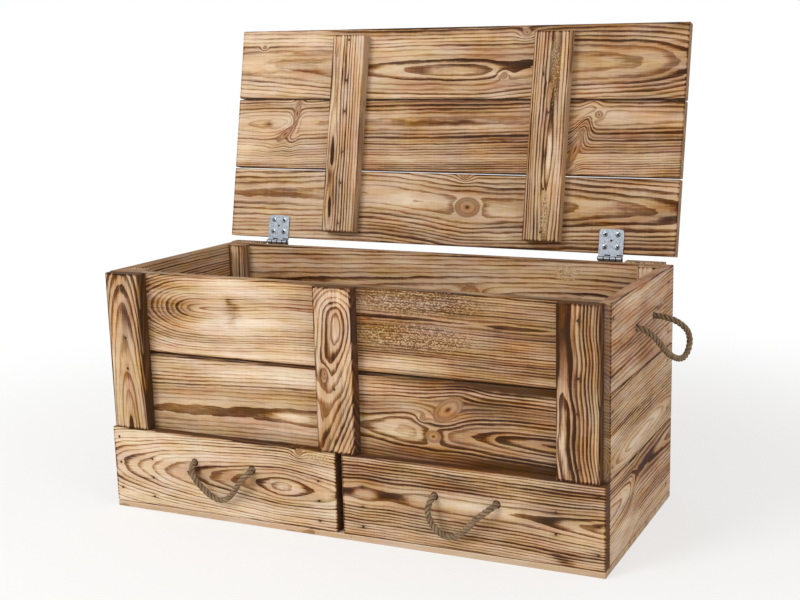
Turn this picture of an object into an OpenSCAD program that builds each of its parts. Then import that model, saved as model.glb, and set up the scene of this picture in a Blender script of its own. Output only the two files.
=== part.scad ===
// Kindling box: a nailed pine chest with a hinged lid and two drawers below, all with rope handles.
// Millimetres, +Z up, front towards -Y. The origin is at the middle of the footprint, on the floor.

/* [Chest] */
// Width over the side walls
box_w = 800; // [700:10:1000]
// Depth over the front and back stiles
box_d = 360; // [320:10:480]
// Height of the rim above the floor
box_h = 372; // [340:2:460]
// Thickness of the boards
board_t = 18; // [15:1:22]
// Thickness of the base boards
base_t = 9; // [6:1:18]
// Radius of the eased long edges of the boards
edge_r = 1.2; // [0.5:0.1:2]
// Seam between neighbouring side, back, base and floor boards
seam = 0.6; // [0.3:0.1:1.5]
// Open seam between the two front boards
front_seam = 4; // [1:0.5:7]

/* [Stiles and posts] */
// Width of a stile on the front
front_stile_w = 61; // [45:1:75]
// Width of a stile on the back
back_stile_w = 62; // [45:1:75]
// Left front stile, set in from the side wall's outer face
left_stile_inset = 5; // [0:1:15]
// Right front stile, set in from the side wall's outer face
right_stile_inset = 9; // [0:1:15]
// Middle front stile, off the centre to the left
mid_stile_shift = 4; // [0:1:20]
// Right back stile, set in from the side wall's outer face
back_right_inset = 16; // [0:1:20]
// Back stiles, height above the rim
back_stile_rise = 1; // [0:1:6]
// Width of the square-cut posts inside the corners
post_w = 30; // [22:1:36]

/* [Floor and drawer bay] */
// Height of the drawer bay under the chest's floor
bay_h = 117; // [90:1:130]
// Thickness of the chest's floor boards
floor_t = 12; // [9:1:18]
// Side of the square cleats that carry the floor at its ends
cleat = 18; // [14:1:22]
// Height of the guide strips beside the drawers
guide_h = 18; // [12:1:30]
// Side play between a drawer box and its guides
guide_play = 1.5; // [0.5:0.1:3]

/* [Drawers] */
// Gap between the two drawer fronts
front_gap = 11; // [3:1:20]
// Middle of that gap, off the centre to the left
front_gap_shift = 1.5; // [0:0.5:8]
// Gap between the base and a drawer, and between a drawer front and the stiles
drawer_play = 0.5; // [0.4:0.1:2]
// Height by which a drawer front covers the board above it
front_lap = 3.5; // [2:0.5:10]
// Drawer box, set in from the side wall's inner face
box_inset = 43; // [38:1:60]
// Drawer box, set off from the chest's centre
box_offset = 27; // [20:1:40]
// Gap between the sides of a drawer box and the chest's floor
drawer_top_gap = 19.5; // [8:0.5:40]
// Gap between a closed drawer and the back boards
drawer_back_gap = 8; // [4:1:60]
// Thickness of a drawer's bottom panel
drawer_bottom_t = 6; // [4:1:9]

/* [Lid] */
// How far the lid reaches past the side walls
lid_overhang = 1; // [0:1:10]
// Seam between the lid's boards
lid_seam = 2.5; // [1:0.5:5]
// Lean past upright when the lid stands open, in degrees
lid_lean = 11.4; // [5:0.1:20]
// Width of a batten
batten_w = 61; // [40:1:75]
// Batten ends, set in from the lid's edges
batten_inset = 14; // [12:1:40]
// Middle of the left batten, in from the side wall's outer face
left_batten_in = 221; // [180:1:260]
// Middle of the right batten, in from the side wall's outer face
right_batten_in = 214; // [180:1:260]

/* [Hinges] */
// Width of a hinge leaf
leaf_w = 40; // [30:1:60]
// Length of a hinge leaf from the pin
leaf_l = 46; // [36:1:60]
// Thickness of the leaf metal
leaf_t = 1.8; // [1.2:0.1:2.5]
// Diameter of the hinge pin
pin_d = 3.4; // [2.6:0.1:4.5]
// Radial running clearance of the lid's knuckles on the pin
pin_play = 0.05; // [0.02:0.01:0.1]
// Knuckles of one hinge
knuckles = 4; // [4:2:6]
// Gap between neighbouring knuckles
knuckle_gap = 0.4; // [0.3:0.1:0.8]
// Height of the pin above the rim
pin_rise = 4.7; // [4.3:0.1:8]
// Lid's lower edge, above the pin
lid_edge_rise = 8; // [6:0.5:12]
// Middle of the left hinge, in from the side wall's outer face
left_hinge_in = 96; // [60:1:140]
// Middle of the right hinge, in from the side wall's outer face
right_hinge_in = 101; // [60:1:140]
// Diameter of a hinge screw's head
screw_head_d = 7; // [5:0.5:8]
// Diameter of a hinge screw's shank
screw_d = 3.2; // [2.4:0.2:4]
// Length of a hinge screw
screw_l = 15; // [10:1:16]

/* [Rope handles] */
// Diameter of the rope
rope_d = 10; // [8:0.5:11]
// Diameter of the holes for the rope
hole_d = 12; // [11.5:0.5:14]
// Hole spacing of the left drawer's handle
left_hole_gap = 102; // [70:1:130]
// Hole spacing of the right drawer's handle
right_hole_gap = 94; // [70:1:130]
// Hole spacing of the side handles
side_hole_gap = 90; // [70:1:120]
// Left drawer's handle, off the middle of the drawer box, outwards
left_handle_shift = 17; // [-20:1:30]
// Right drawer's handle, off the middle of the drawer box, outwards
right_handle_shift = 14; // [-20:1:30]
// Middle of the side handles, behind the chest's centre
side_handle_y = 4; // [-20:1:30]
// Height of the left drawer's holes
left_hole_z = 88; // [70:1:100]
// Height of the right drawer's holes
right_hole_z = 85; // [70:1:100]
// Side handles' holes, below the rim
side_hole_drop = 57; // [40:1:75]

/* [Nails] */
// Diameter of a nail head
nail_head_d = 5; // [3:0.5:7]
// Diameter of a nail's shank
nail_d = 2.4; // [1.8:0.2:3.2]
// Length of a nail
nail_l = 32; // [24:1:34]
// How far a nail head stands proud
nail_proud = 0.4; // [0.2:0.1:1]
// Nails, in from the edges of the board that they hold
nail_edge = 22; // [15:1:30]

/* [Hidden] */
// Routes of the ropes of the left drawer, the right drawer and the side handles. A point is
// [along the board, out of its face, up] from the middle between the holes, and a route starts
// and ends at the board's inner face.
LEFT_ROPE = [[-51, -18, 0], [-51, -7, 0], [-51, 2, 0], [-49, 10, -3], [-45, 16, -10],
    [-39, 18, -19], [-32, 17, -28], [-24, 14, -38], [-14, 12, -46], [-3, 11, -50], [8, 11, -48],
    [17, 12, -42], [25, 14, -34], [32, 16, -25], [39, 17, -16], [46, 15, -8], [50, 9, -3],
    [51, 2, 0], [51, -7, 0], [51, -18, 0]];
RIGHT_ROPE = [[-47, -18, 0], [-47, -7, 0], [-47, 2, 0], [-48, 10, -3], [-49, 16, -10],
    [-49, 18, -20], [-46, 17, -31], [-40, 15, -41], [-31, 13, -49], [-20, 12, -52], [-9, 12, -49],
    [1, 13, -42], [10, 14, -33], [18, 16, -24], [27, 17, -15], [36, 15, -8], [43, 10, -3],
    [47, 2, 0], [47, -7, 0], [47, -18, 0]];
SIDE_ROPE = [[-45, -18, 0], [-45, -7, 0], [-45, 4, 0], [-43, 14, -4], [-38, 22, -12],
    [-30, 28, -22], [-18, 32, -33], [-4, 35, -43], [12, 38, -51], [28, 41, -57], [42, 45, -59],
    [54, 48, -54], [60, 50, -43], [59, 50, -31], [52, 48, -20], [45, 42, -11], [41, 32, -4],
    [41, 21, -1], [44, 11, 0], [45, 1, 0], [45, -18, 0]];
rope_sides = 10;

eps = 0.01;
round_fn = 48;
seat = 0.3;                                   // clearance of a drawer front on the chest
carcass_d = box_d - 2 * board_t;              // depth over the side walls
wall_h = box_h - base_t;
wall_boards = 3;
lid_boards = 3;
wall_board_h = (wall_h - (wall_boards - 1) * seam) / wall_boards;
wall_pitch = wall_board_h + seam;
inner_x = box_w / 2 - board_t;                // inner face of a side wall
face_y = carcass_d / 2;                       // outer face of the front and back boards
inner_y = face_y - board_t;                   // inner face of the front and back boards
floor_z = base_t + bay_h;                     // underside of the chest's floor
front_board_h = (box_h - floor_z - front_seam) / 2;
front_board_z = [floor_z, floor_z + front_board_h + front_seam];
base_d = box_d - board_t;                     // from the front stiles to the ends of the side walls
base_board_d = (base_d - 2 * seam) / 3;
floor_board_d = (2 * inner_y - 4 * seam) / 3;
fit_gap = 0.5;                                // between the floor boards and what stands round them
left_stile_x = -box_w / 2 + left_stile_inset + front_stile_w / 2;
right_stile_x = box_w / 2 - right_stile_inset - front_stile_w / 2;
mid_stile_x = -mid_stile_shift;
back_left_x = -box_w / 2 + back_stile_w / 2;
back_right_x = box_w / 2 - back_right_inset - back_stile_w / 2;
cleat_l = 2 * (inner_y - board_t - fit_gap);  // between the corner posts
post_nail_y = inner_y - board_t / 2;          // nails into the corner posts
board_end_y = face_y - board_t / 2;           // nails into the ends of the front boards

drawer_z = base_t + drawer_play;              // underside of the drawers
front_top = floor_z + front_lap;              // top of the drawer fronts
drawer_front_h = front_top - drawer_z;
stile_z = front_top + 2 * drawer_play;        // foot of the front stiles
gap_x = -front_gap_shift;                     // middle of the gap between the drawer fronts
drawer_outer = inner_x - box_inset;           // outer face of a drawer box
drawer_side_z = drawer_z + drawer_bottom_t;
drawer_side_h = floor_z - drawer_top_gap - drawer_side_z;
drawer_face_y = -face_y - seat;               // back face of the drawer fronts
drawer_back_y = inner_y - drawer_back_gap;    // back face of a drawer box
drawer_depth = drawer_back_y - drawer_face_y;
outer_side_x = [drawer_outer - board_t, drawer_outer];
inner_side_x = [box_offset, box_offset + board_t];
box_middle = (drawer_outer + box_offset) / 2;
inner_guide_w = box_offset - guide_play - board_t / 2;
outer_guide_w = box_inset - guide_play;
side_nail_edge = 8;                           // nails of a box side, above its lower edge
side_nail_top = 22;                           // and below its upper edge
side_nail_step = (drawer_side_h - side_nail_edge - side_nail_top) / 2;
side_nail_zs = [for (k = [0:2]) drawer_side_z + side_nail_edge + k * side_nail_step];
end_nail_top = 0.7 * nail_edge;               // end nails, below the upper edge of a drawer front
end_nail_step = (drawer_front_h - nail_edge - end_nail_top) / 2;
end_nail_zs = [for (k = [0:2]) drawer_z + nail_edge + k * end_nail_step];
end_nail_edge = 10;                           // end nails, in from the end of a drawer front
end_nail_x = box_w / 2 - end_nail_edge;

lid_w = box_w + 2 * lid_overhang;
lid_d = box_d;
left_batten_x = -box_w / 2 + left_batten_in;
right_batten_x = box_w / 2 - right_batten_in;
left_hinge_x = -box_w / 2 + left_hinge_in;
right_hinge_x = box_w / 2 - right_hinge_in;
barrel_r = pin_d / 2 + leaf_t;
axis_y = face_y - pin_d / 2;                  // hinge axis
axis_z = box_h + pin_rise;
lid_v = barrel_r;                             // lid's inner face, behind the axis
lid_u = lid_edge_rise;                        // lid's lower edge, above the axis
lid_board_d = (lid_d - (lid_boards - 1) * lid_seam) / lid_boards;
lid_pitch = lid_board_d + lid_seam;
batten_nail_edge = nail_edge + 6;             // lower nail of a batten in each lid board
lid_nail_us = [for (i = [0:lid_boards - 1])
    each [lid_u + i * lid_pitch + batten_nail_edge, lid_u + i * lid_pitch + lid_board_d - nail_edge]];
plate_u = barrel_r + 0.5;                     // where a leaf's full width begins
knuckle_w = leaf_w / knuckles;
screw_x = 10.3;                               // screws, off the middle of the leaf
screw_edge = 10;                              // lower screws of a leaf, from the lid's edge
screw_pitch = 20;                             // from the lower screws to the upper ones
screw_u = [lid_edge_rise + screw_edge, lid_edge_rise + screw_edge + screw_pitch];
spare_u = lid_edge_rise + screw_edge + screw_pitch / 2;  // empty hole in the middle of the leaf
head_h = (screw_head_d - screw_d) / 2;        // height of a countersunk head
side_hole_z = box_h - side_hole_drop;
screw_play = 0.1;                             // radial, in the holes of a leaf
spare_hole_d = screw_d + 1;
nail_head_h = 1.2;
knot_r = 1.5 * rope_d;
knot_turns = 3;
turn_pitch = 0.9 * rope_d;                    // the turns bed into each other a little
knot_h = rope_d + (knot_turns - 1) * turn_pitch;
knot_tail = 8;
tack_l = board_t - 3;                         // short nails that stay inside a drawer front

WOOD = "#c39a63";
WOOD_DARK = "#a97b4a";
ZINC = "#a9abad";
STEEL = "#8b8577";
ROPE = "#9c8b74";

// ---- Boards ----

// Section of a board, with its four long edges eased
module board_section(a, b) {
    translate([edge_r, 0]) square([a - 2 * edge_r, b]);
    translate([0, edge_r]) square([a, b - 2 * edge_r]);
    for (x = [edge_r, a - edge_r], y = [edge_r, b - edge_r])
        translate([x, y]) circle(r = edge_r, $fn = 32);
}

// A board from corner p, of size s, with its grain along X, Y or Z
module board_x(p, s) {
    translate(p) rotate([90, 0, 90]) linear_extrude(s[0]) board_section(s[1], s[2]);
}

module board_y(p, s) {
    translate([p[0] + s[0], p[1], p[2]]) rotate([90, 0, 180])
        linear_extrude(s[1]) board_section(s[0], s[2]);
}

module board_z(p, s) {
    translate(p) linear_extrude(s[2]) board_section(s[0], s[1]);
}

// ---- Rope and knots ----

function unit(v) = v / norm(v);
function frame_u(t) = unit(cross(t, abs(t[2]) > 0.9 ? [1, 0, 0] : [0, 0, 1]));
function tangent(p, i) = unit(p[min(i + 1, len(p) - 1)] - p[max(i - 1, 0)]);
function carry(u, t) = unit(u - (u * t) * t);

// Directions across the rope, each one carried on from the one before, so the tube has no twist
function across(p, i = 0, u = undef, list = []) =
    i == len(p) ? list :
    let (t = tangent(p, i), v = carry(u == undef ? frame_u(t) : u, t))
    across(p, i + 1, v, concat(list, [v]));

// A rope as one tube with a ring at each point of its route
module rope(p) {
    n = rope_sides;
    u = across(p);
    rings = [for (i = [0:len(p) - 1]) let (t = tangent(p, i), w = cross(t, u[i]))
        for (k = [0:n - 1]) p[i] + rope_d / 2 * (cos(360 * k / n) * u[i] + sin(360 * k / n) * w)];
    last = n * (len(p) - 1);
    walls = [for (i = [0:len(p) - 2], k = [0:n - 1]) let (a = i * n + k, b = i * n + (k + 1) % n)
        each [[a, b + n, b], [a, a + n, b + n]]];
    first_cap = [for (k = [1:n - 2]) [0, k, k + 1]];
    last_cap = [for (k = [1:n - 2]) [last, last + k + 1, last + k]];
    polyhedron(rings, concat(walls, first_cap, last_cap));
}

// A barrel stopper knot behind a board: the rope's core, three turns round it and a short tail.
// Its face lies on the plane Z = 0 and it reaches along +Z.
module knot() {
    rotate_extrude($fn = round_fn) {
        square([knot_r - rope_d / 2, knot_h]);
        for (k = [0:knot_turns - 1])
            translate([knot_r - rope_d / 2, rope_d / 2 + k * turn_pitch]) circle(d = rope_d, $fn = 32);
    }
    cylinder(d = rope_d, h = knot_h + knot_tail, $fn = round_fn);
}

// A pair of knots on a board's inner face, pointing along +Y
module knot_pair(spacing) {
    for (a = [-spacing / 2, spacing / 2])
        translate([a, 0, 0]) rotate([-90, 0, 0]) knot();
}

// The two holes of a rope handle, through a board whose outer face is the plane Y = 0
module rope_holes(spacing) {
    for (a = [-spacing / 2, spacing / 2])
        translate([a, -1, 0]) rotate([-90, 0, 0]) cylinder(d = hole_d, h = board_t + 2, $fn = round_fn);
}

// Route points from [along, out, up] to a frame whose outer face is the plane Y = 0
function routed(p) = [for (q = p) [q[0], -q[1], q[2]]];

// Places of the handles: outer face at Y = 0, board behind it along +Y
module at_drawer_handle(x, z) {
    translate([x, drawer_face_y - board_t, z]) children();
}

module at_right_handle() {
    translate([box_w / 2, side_handle_y, side_hole_z]) rotate([0, 0, 90]) children();
}

module at_left_handle() {
    mirror([1, 0, 0]) at_right_handle() children();
}

module side_rope() color(ROPE) {
    rope(routed(SIDE_ROPE));
}

module side_knots() color(ROPE) {
    translate([0, board_t, 0]) knot_pair(side_hole_gap);
}

// ---- Nails and screws ----

// A nail driven along -Z, with its head on the plane Z = 0
module nail(l = nail_l) {
    translate([0, 0, nail_proud - nail_head_h]) cylinder(d = nail_head_d, h = nail_head_h, $fn = 24);
    translate([0, 0, -l]) cylinder(d = nail_d, h = l, $fn = 24);
}

// A countersunk screw driven along -Z, its head flush with the plane Z = 0
module screw() {
    translate([0, 0, -head_h]) cylinder(d1 = screw_d, d2 = screw_head_d, h = head_h, $fn = 32);
    translate([0, 0, -screw_l]) cylinder(d = screw_d, h = screw_l - head_h + eps, $fn = 32);
}

// Nail heights in the boards that a stile crosses: two for each board
function pair_heights(z0, h) = [z0 + nail_edge, z0 + h - nail_edge];
function front_heights() = [for (z = front_board_z) each pair_heights(z, front_board_h)];
function wall_heights() = [for (i = [0:wall_boards - 1])
    each pair_heights(base_t + i * wall_pitch, wall_board_h)];

// ---- Chest ----

module base_boards() color(WOOD) {
    for (i = [0:2])
        board_x([-box_w / 2, -box_d / 2 + i * (base_board_d + seam), 0], [box_w, base_board_d, base_t]);
}

module wall_board_right(i) color(WOOD) difference() {
    board_y([inner_x, -face_y, base_t + i * wall_pitch], [board_t, carcass_d, wall_board_h]);
    at_right_handle() rope_holes(side_hole_gap);
}

module wall_board_left(i) {
    mirror([1, 0, 0]) wall_board_right(i);
}

module front_board(i) color(WOOD) {
    board_x([-inner_x, -face_y, front_board_z[i]], [2 * inner_x, board_t, front_board_h]);
}

module back_board(i) color(WOOD) {
    board_x([-inner_x, inner_y, base_t + i * wall_pitch], [2 * inner_x, board_t, wall_board_h]);
}

module front_stile(x) color(WOOD) {
    board_z([x - front_stile_w / 2, -box_d / 2, stile_z], [front_stile_w, board_t, box_h - stile_z]);
}

module back_stile(x) color(WOOD) {
    board_z([x - back_stile_w / 2, face_y, 0], [back_stile_w, board_t, box_h + back_stile_rise]);
}

// Right-hand post: side -1 is at the front, 1 at the back
module corner_post(side) color(WOOD) {
    y = side > 0 ? inner_y - board_t : -inner_y;
    board_z([inner_x - post_w, y, base_t], [post_w, board_t, wall_h]);
}

module corner_posts_front() {
    corner_post(-1);
    mirror([1, 0, 0]) corner_post(-1);
}

// Floor boards, notched round the corner posts
module chest_floor() color(WOOD_DARK) difference() {
    for (i = [0:2])
        board_x([-inner_x + fit_gap, -inner_y + seam + i * (floor_board_d + seam), floor_z],
            [2 * (inner_x - fit_gap), floor_board_d, floor_t]);
    for (sx = [0, 1], sy = [0, 1]) mirror([sx, 0, 0]) mirror([0, sy, 0])
        translate([inner_x - post_w - fit_gap, inner_y - board_t - fit_gap, floor_z - 1])
            cube([post_w + 2 * fit_gap, board_t + 2 * fit_gap, floor_t + 2]);
}

module floor_cleats() color(WOOD_DARK) {
    for (s = [-1, 1])
        translate([s * (inner_x - cleat / 2), 0, floor_z - cleat / 2])
            board_y([-cleat / 2, -cleat_l / 2, -cleat / 2], [cleat, cleat_l, cleat]);
}

module bay_divider() color(WOOD_DARK) {
    board_y([-board_t / 2, -face_y, base_t], [board_t, face_y + inner_y, bay_h]);
}

// Strips that guide the drawers: against the divider and against the side walls
module drawer_guides() color(WOOD_DARK) {
    for (s = [-1, 1]) {
        translate([s * (board_t / 2 + inner_guide_w / 2), 0, 0])
            board_y([-inner_guide_w / 2, -inner_y, base_t], [inner_guide_w, 2 * inner_y, guide_h]);
        translate([s * (inner_x - outer_guide_w / 2), 0, 0])
            board_y([-outer_guide_w / 2, -cleat_l / 2, base_t], [outer_guide_w, cleat_l, guide_h]);
    }
}

// ---- Hinges ----

// Frame of the open lid: X along the pin, Y out of the lid's back, Z up the lid from the pin
module at_lid() {
    translate([0, axis_y, axis_z]) rotate([-lid_lean, 0, 0]) children();
}

// Frame of the box leaf: as the lid's, but with Z down the back of the chest
module at_box_leaf() {
    translate([0, axis_y, axis_z]) mirror([0, 0, 1]) children();
}

// Outline of a leaf, with its far corners rounded
module leaf_outline() {
    r = 5;
    translate([-leaf_w / 2, plate_u]) square([leaf_w, leaf_l - plate_u - r]);
    translate([-leaf_w / 2 + r, plate_u]) square([leaf_w - 2 * r, leaf_l - plate_u]);
    for (s = [-1, 1]) translate([s * (leaf_w / 2 - r), leaf_l - r]) circle(r = r, $fn = round_fn);
}

// A leaf with its knuckles, whose first knuckle is number n. The screws go in along +Y where
// way is 1 and along -Y where it is -1, and the bore has the radial clearance play.
module leaf(n, way, play) color(ZINC) {
    difference() {
        union() {
            translate([0, barrel_r, 0]) rotate([90, 0, 0]) linear_extrude(leaf_t) leaf_outline();
            for (k = [n:2:knuckles - 1])
                translate([-leaf_w / 2 + k * knuckle_w + knuckle_gap / 2, 0, 0]) {
                    rotate([0, 90, 0])
                        cylinder(r = barrel_r, h = knuckle_w - knuckle_gap, $fn = round_fn);
                    translate([0, pin_d / 2, 0])
                        cube([knuckle_w - knuckle_gap, leaf_t, plate_u + 1]);
                }
        }
        translate([-leaf_w / 2 - 1, 0, 0]) rotate([0, 90, 0])
            cylinder(r = pin_d / 2 + play, h = leaf_w + 2, $fn = round_fn);
        at_screws(way) translate([0, 0, -head_h]) {
            cylinder(r1 = screw_d / 2 + screw_play, r2 = screw_head_d / 2 + screw_play,
                h = head_h + eps, $fn = 32);
            translate([0, 0, -board_t])
                cylinder(r = screw_d / 2 + screw_play, h = board_t + eps, $fn = 32);
        }
        translate([0, 0, spare_u]) rotate([90, 0, 0])
            cylinder(d = spare_hole_d, h = 4 * barrel_r, center = true, $fn = 32);
    }
}

// Places of a leaf's four screws, with -Z pointing into the wood
module at_screws(way) {
    y = way > 0 ? pin_d / 2 : barrel_r;
    for (x = [-screw_x, screw_x], u = screw_u)
        translate([x, y, u]) rotate([way > 0 ? 90 : -90, 0, 0]) children();
}

// Pins, with a rolled head at their left ends
module hinge_pins() color(STEEL) {
    head = 0.6;
    for (x = [left_hinge_x, right_hinge_x])
        translate([x - leaf_w / 2 - head, axis_y, axis_z]) rotate([0, 90, 0]) {
            cylinder(d = pin_d, h = leaf_w + 2 * head, $fn = round_fn);
            cylinder(d = pin_d + leaf_t, h = head, $fn = round_fn);
        }
}

module box_leaf(x) {
    at_box_leaf() translate([x, 0, 0]) leaf(1, -1, 0);
}

module lid_leaf(x) {
    at_lid() translate([x, 0, 0]) leaf(0, 1, pin_play);
}

module hinge_box_screws() color(STEEL) {
    at_box_leaf() for (x = [left_hinge_x, right_hinge_x])
        translate([x, 0, 0]) at_screws(-1) screw();
}

module hinge_lid_screws() color(STEEL) {
    at_lid() for (x = [left_hinge_x, right_hinge_x])
        translate([x, 0, 0]) at_screws(1) screw();
}

// ---- Lid ----

module lid_board(i) color(WOOD) {
    at_lid() board_x([-lid_w / 2, lid_v, lid_u + i * lid_pitch], [lid_w, board_t, lid_board_d]);
}

module lid_batten(x) color(WOOD) {
    at_lid() board_z([x - batten_w / 2, lid_v - board_t, lid_u + batten_inset],
        [batten_w, board_t, lid_d - 2 * batten_inset]);
}

// Two nails through each batten into each lid board
module lid_nails() color(STEEL) {
    at_lid() for (x = [left_batten_x, right_batten_x], u = lid_nail_us)
        translate([x, lid_v - board_t, u]) rotate([90, 0, 0]) nail();
}

// ---- Drawers: side -1 is the left drawer, 1 the right ----

function drawer_front_x(side) = side < 0 ? [-box_w / 2, gap_x - front_gap / 2]
    : [gap_x + front_gap / 2, box_w / 2];
function handle_x(side) = side < 0 ? -box_middle - left_handle_shift : box_middle + right_handle_shift;
function handle_z(side) = side < 0 ? left_hole_z : right_hole_z;
function handle_hole_gap(side) = side < 0 ? left_hole_gap : right_hole_gap;

module drawer_front(side) color(WOOD) difference() {
    x = drawer_front_x(side);
    board_x([x[0], drawer_face_y - board_t, drawer_z], [x[1] - x[0], board_t, drawer_front_h]);
    at_drawer_handle(handle_x(side), handle_z(side)) rope_holes(handle_hole_gap(side));
}

module drawer_side(side, x) color(WOOD_DARK) {
    mirror([side < 0 ? 1 : 0, 0, 0])
        board_y([x[0], drawer_face_y, drawer_side_z], [board_t, drawer_depth, drawer_side_h]);
}

module drawer_back(side) color(WOOD_DARK) {
    w = outer_side_x[0] - inner_side_x[1];
    x = side < 0 ? -outer_side_x[0] : inner_side_x[1];
    board_x([x, drawer_back_y - board_t, drawer_side_z], [w, board_t, drawer_side_h]);
}

module drawer_bottom(side) color(WOOD_DARK) {
    x = side < 0 ? -drawer_outer : box_offset;
    translate([x, drawer_face_y, drawer_z])
        cube([drawer_outer - box_offset, drawer_depth, drawer_bottom_t]);
}

module drawer_rope(side) color(ROPE) {
    at_drawer_handle(handle_x(side), handle_z(side)) rope(routed(side < 0 ? LEFT_ROPE : RIGHT_ROPE));
}

module drawer_knots(side) color(ROPE) {
    at_drawer_handle(handle_x(side), handle_z(side))
        translate([0, board_t, 0]) knot_pair(handle_hole_gap(side));
}

// Columns of nails in a drawer front: three into each side of the box, three short ones at its end
module drawer_nails(side) color(STEEL) {
    y = drawer_face_y - board_t;
    for (x = [outer_side_x[0] + board_t / 2, inner_side_x[0] + board_t / 2], z = side_nail_zs)
        translate([side * x, y, z]) rotate([90, 0, 0]) nail();
    for (z = end_nail_zs) translate([side * end_nail_x, y, z]) rotate([90, 0, 0]) nail(tack_l);
}

module chest_nails() color(STEEL) {
    for (x = [left_stile_x, mid_stile_x, right_stile_x], z = front_heights())
        translate([x, -box_d / 2, z]) rotate([90, 0, 0]) nail();
    for (x = [back_left_x, back_right_x], z = wall_heights())
        translate([x, box_d / 2, z]) rotate([-90, 0, 0]) nail();
    for (s = [-1, 1]) {
        for (z = front_heights())
            translate([s * box_w / 2, -board_end_y, z]) rotate([0, s * 90, 0]) nail();
        for (z = wall_heights())
            translate([s * box_w / 2, post_nail_y, z]) rotate([0, s * 90, 0]) nail();
    }
}

base_boards();
wall_board_left(0);  // side_left_board_1
wall_board_left(1);  // side_left_board_2
wall_board_left(2);  // side_left_board_3
wall_board_right(0);  // side_right_board_1
wall_board_right(1);  // side_right_board_2
wall_board_right(2);  // side_right_board_3
front_board(0);  // front_board_lower
front_board(1);  // front_board_upper
back_board(0);  // back_board_1
back_board(1);  // back_board_2
back_board(2);  // back_board_3
front_stile(left_stile_x);  // front_stile_left
front_stile(mid_stile_x);  // front_stile_middle
front_stile(right_stile_x);  // front_stile_right
back_stile(back_left_x);  // back_stile_left
back_stile(back_right_x);  // back_stile_right
corner_posts_front();
mirror([1, 0, 0]) corner_post(1);  // corner_post_back_left
corner_post(1);  // corner_post_back_right
chest_floor();
floor_cleats();
bay_divider();
drawer_guides();
box_leaf(left_hinge_x);  // hinge_left_box_leaf
box_leaf(right_hinge_x);  // hinge_right_box_leaf
hinge_pins();
hinge_box_screws();
chest_nails();
at_left_handle() side_rope();  // side_left_rope
at_left_handle() side_knots();  // side_left_knots
at_right_handle() side_rope();  // side_right_rope
at_right_handle() side_knots();  // side_right_knots
lid_board(0);  // lid_board_1
lid_board(1);  // lid_board_2
lid_board(2);  // lid_board_3
lid_batten(left_batten_x);  // lid_batten_left
lid_batten(right_batten_x);  // lid_batten_right
lid_leaf(left_hinge_x);  // hinge_left_lid_leaf
lid_leaf(right_hinge_x);  // hinge_right_lid_leaf
hinge_lid_screws();
lid_nails();
drawer_front(-1);  // drawer_left_front
drawer_side(-1, outer_side_x);  // drawer_left_outer_side
drawer_side(-1, inner_side_x);  // drawer_left_inner_side
drawer_back(-1);  // drawer_left_back
drawer_bottom(-1);  // drawer_left_bottom
drawer_rope(-1);  // drawer_left_rope
drawer_knots(-1);  // drawer_left_knots
drawer_nails(-1);  // drawer_left_nails
drawer_front(1);  // drawer_right_front
drawer_side(1, outer_side_x);  // drawer_right_outer_side
drawer_side(1, inner_side_x);  // drawer_right_inner_side
drawer_back(1);  // drawer_right_back
drawer_bottom(1);  // drawer_right_bottom
drawer_rope(1);  // drawer_right_rope
drawer_knots(1);  // drawer_right_knots
drawer_nails(1);  // drawer_right_nails
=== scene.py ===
"""The looks of a kindling box: flamed pine, laid rope, nails and zinc-plated hinges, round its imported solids.

Run as a script. Lengths are metres in the object's own frame, and millimetres inside the wood patterns.
"""
import math
import random
from dataclasses import dataclass

import bmesh
import bpy
import numpy as np
from bpy.props import FloatProperty, FloatVectorProperty, IntProperty, PointerProperty
from mathutils import Matrix, Vector


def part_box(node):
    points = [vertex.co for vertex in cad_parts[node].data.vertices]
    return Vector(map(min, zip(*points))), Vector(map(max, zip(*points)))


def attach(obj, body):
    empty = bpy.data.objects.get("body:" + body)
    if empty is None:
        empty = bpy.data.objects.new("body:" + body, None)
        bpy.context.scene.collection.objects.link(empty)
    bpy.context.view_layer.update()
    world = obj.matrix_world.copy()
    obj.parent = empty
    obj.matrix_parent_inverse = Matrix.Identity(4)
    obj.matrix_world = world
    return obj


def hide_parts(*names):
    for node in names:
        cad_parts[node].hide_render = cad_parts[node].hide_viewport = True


bl_info = {
    "name": "Kindling box",
    "version": (1, 0, 0),
    "blender": (4, 5, 0),
    "location": "3D View > Sidebar > Kindling Box",
    "description": "Dresses the solids of a kindling box in flamed pine, rope and zinc",
    "category": "Object",
}

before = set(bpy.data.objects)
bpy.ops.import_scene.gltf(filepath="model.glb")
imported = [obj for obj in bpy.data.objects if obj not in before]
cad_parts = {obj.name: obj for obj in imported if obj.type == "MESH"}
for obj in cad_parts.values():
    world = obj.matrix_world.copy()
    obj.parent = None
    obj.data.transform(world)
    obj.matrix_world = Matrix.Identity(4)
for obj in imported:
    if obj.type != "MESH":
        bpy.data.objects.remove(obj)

MM = 0.001
MATH = "ShaderNodeMath"
VECTOR = "ShaderNodeVectorMath"
NOISE = "ShaderNodeTexNoise"
MIX = "ShaderNodeMix"
RANGE = "ShaderNodeMapRange"
E_INVERSE = math.exp(-1)

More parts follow.
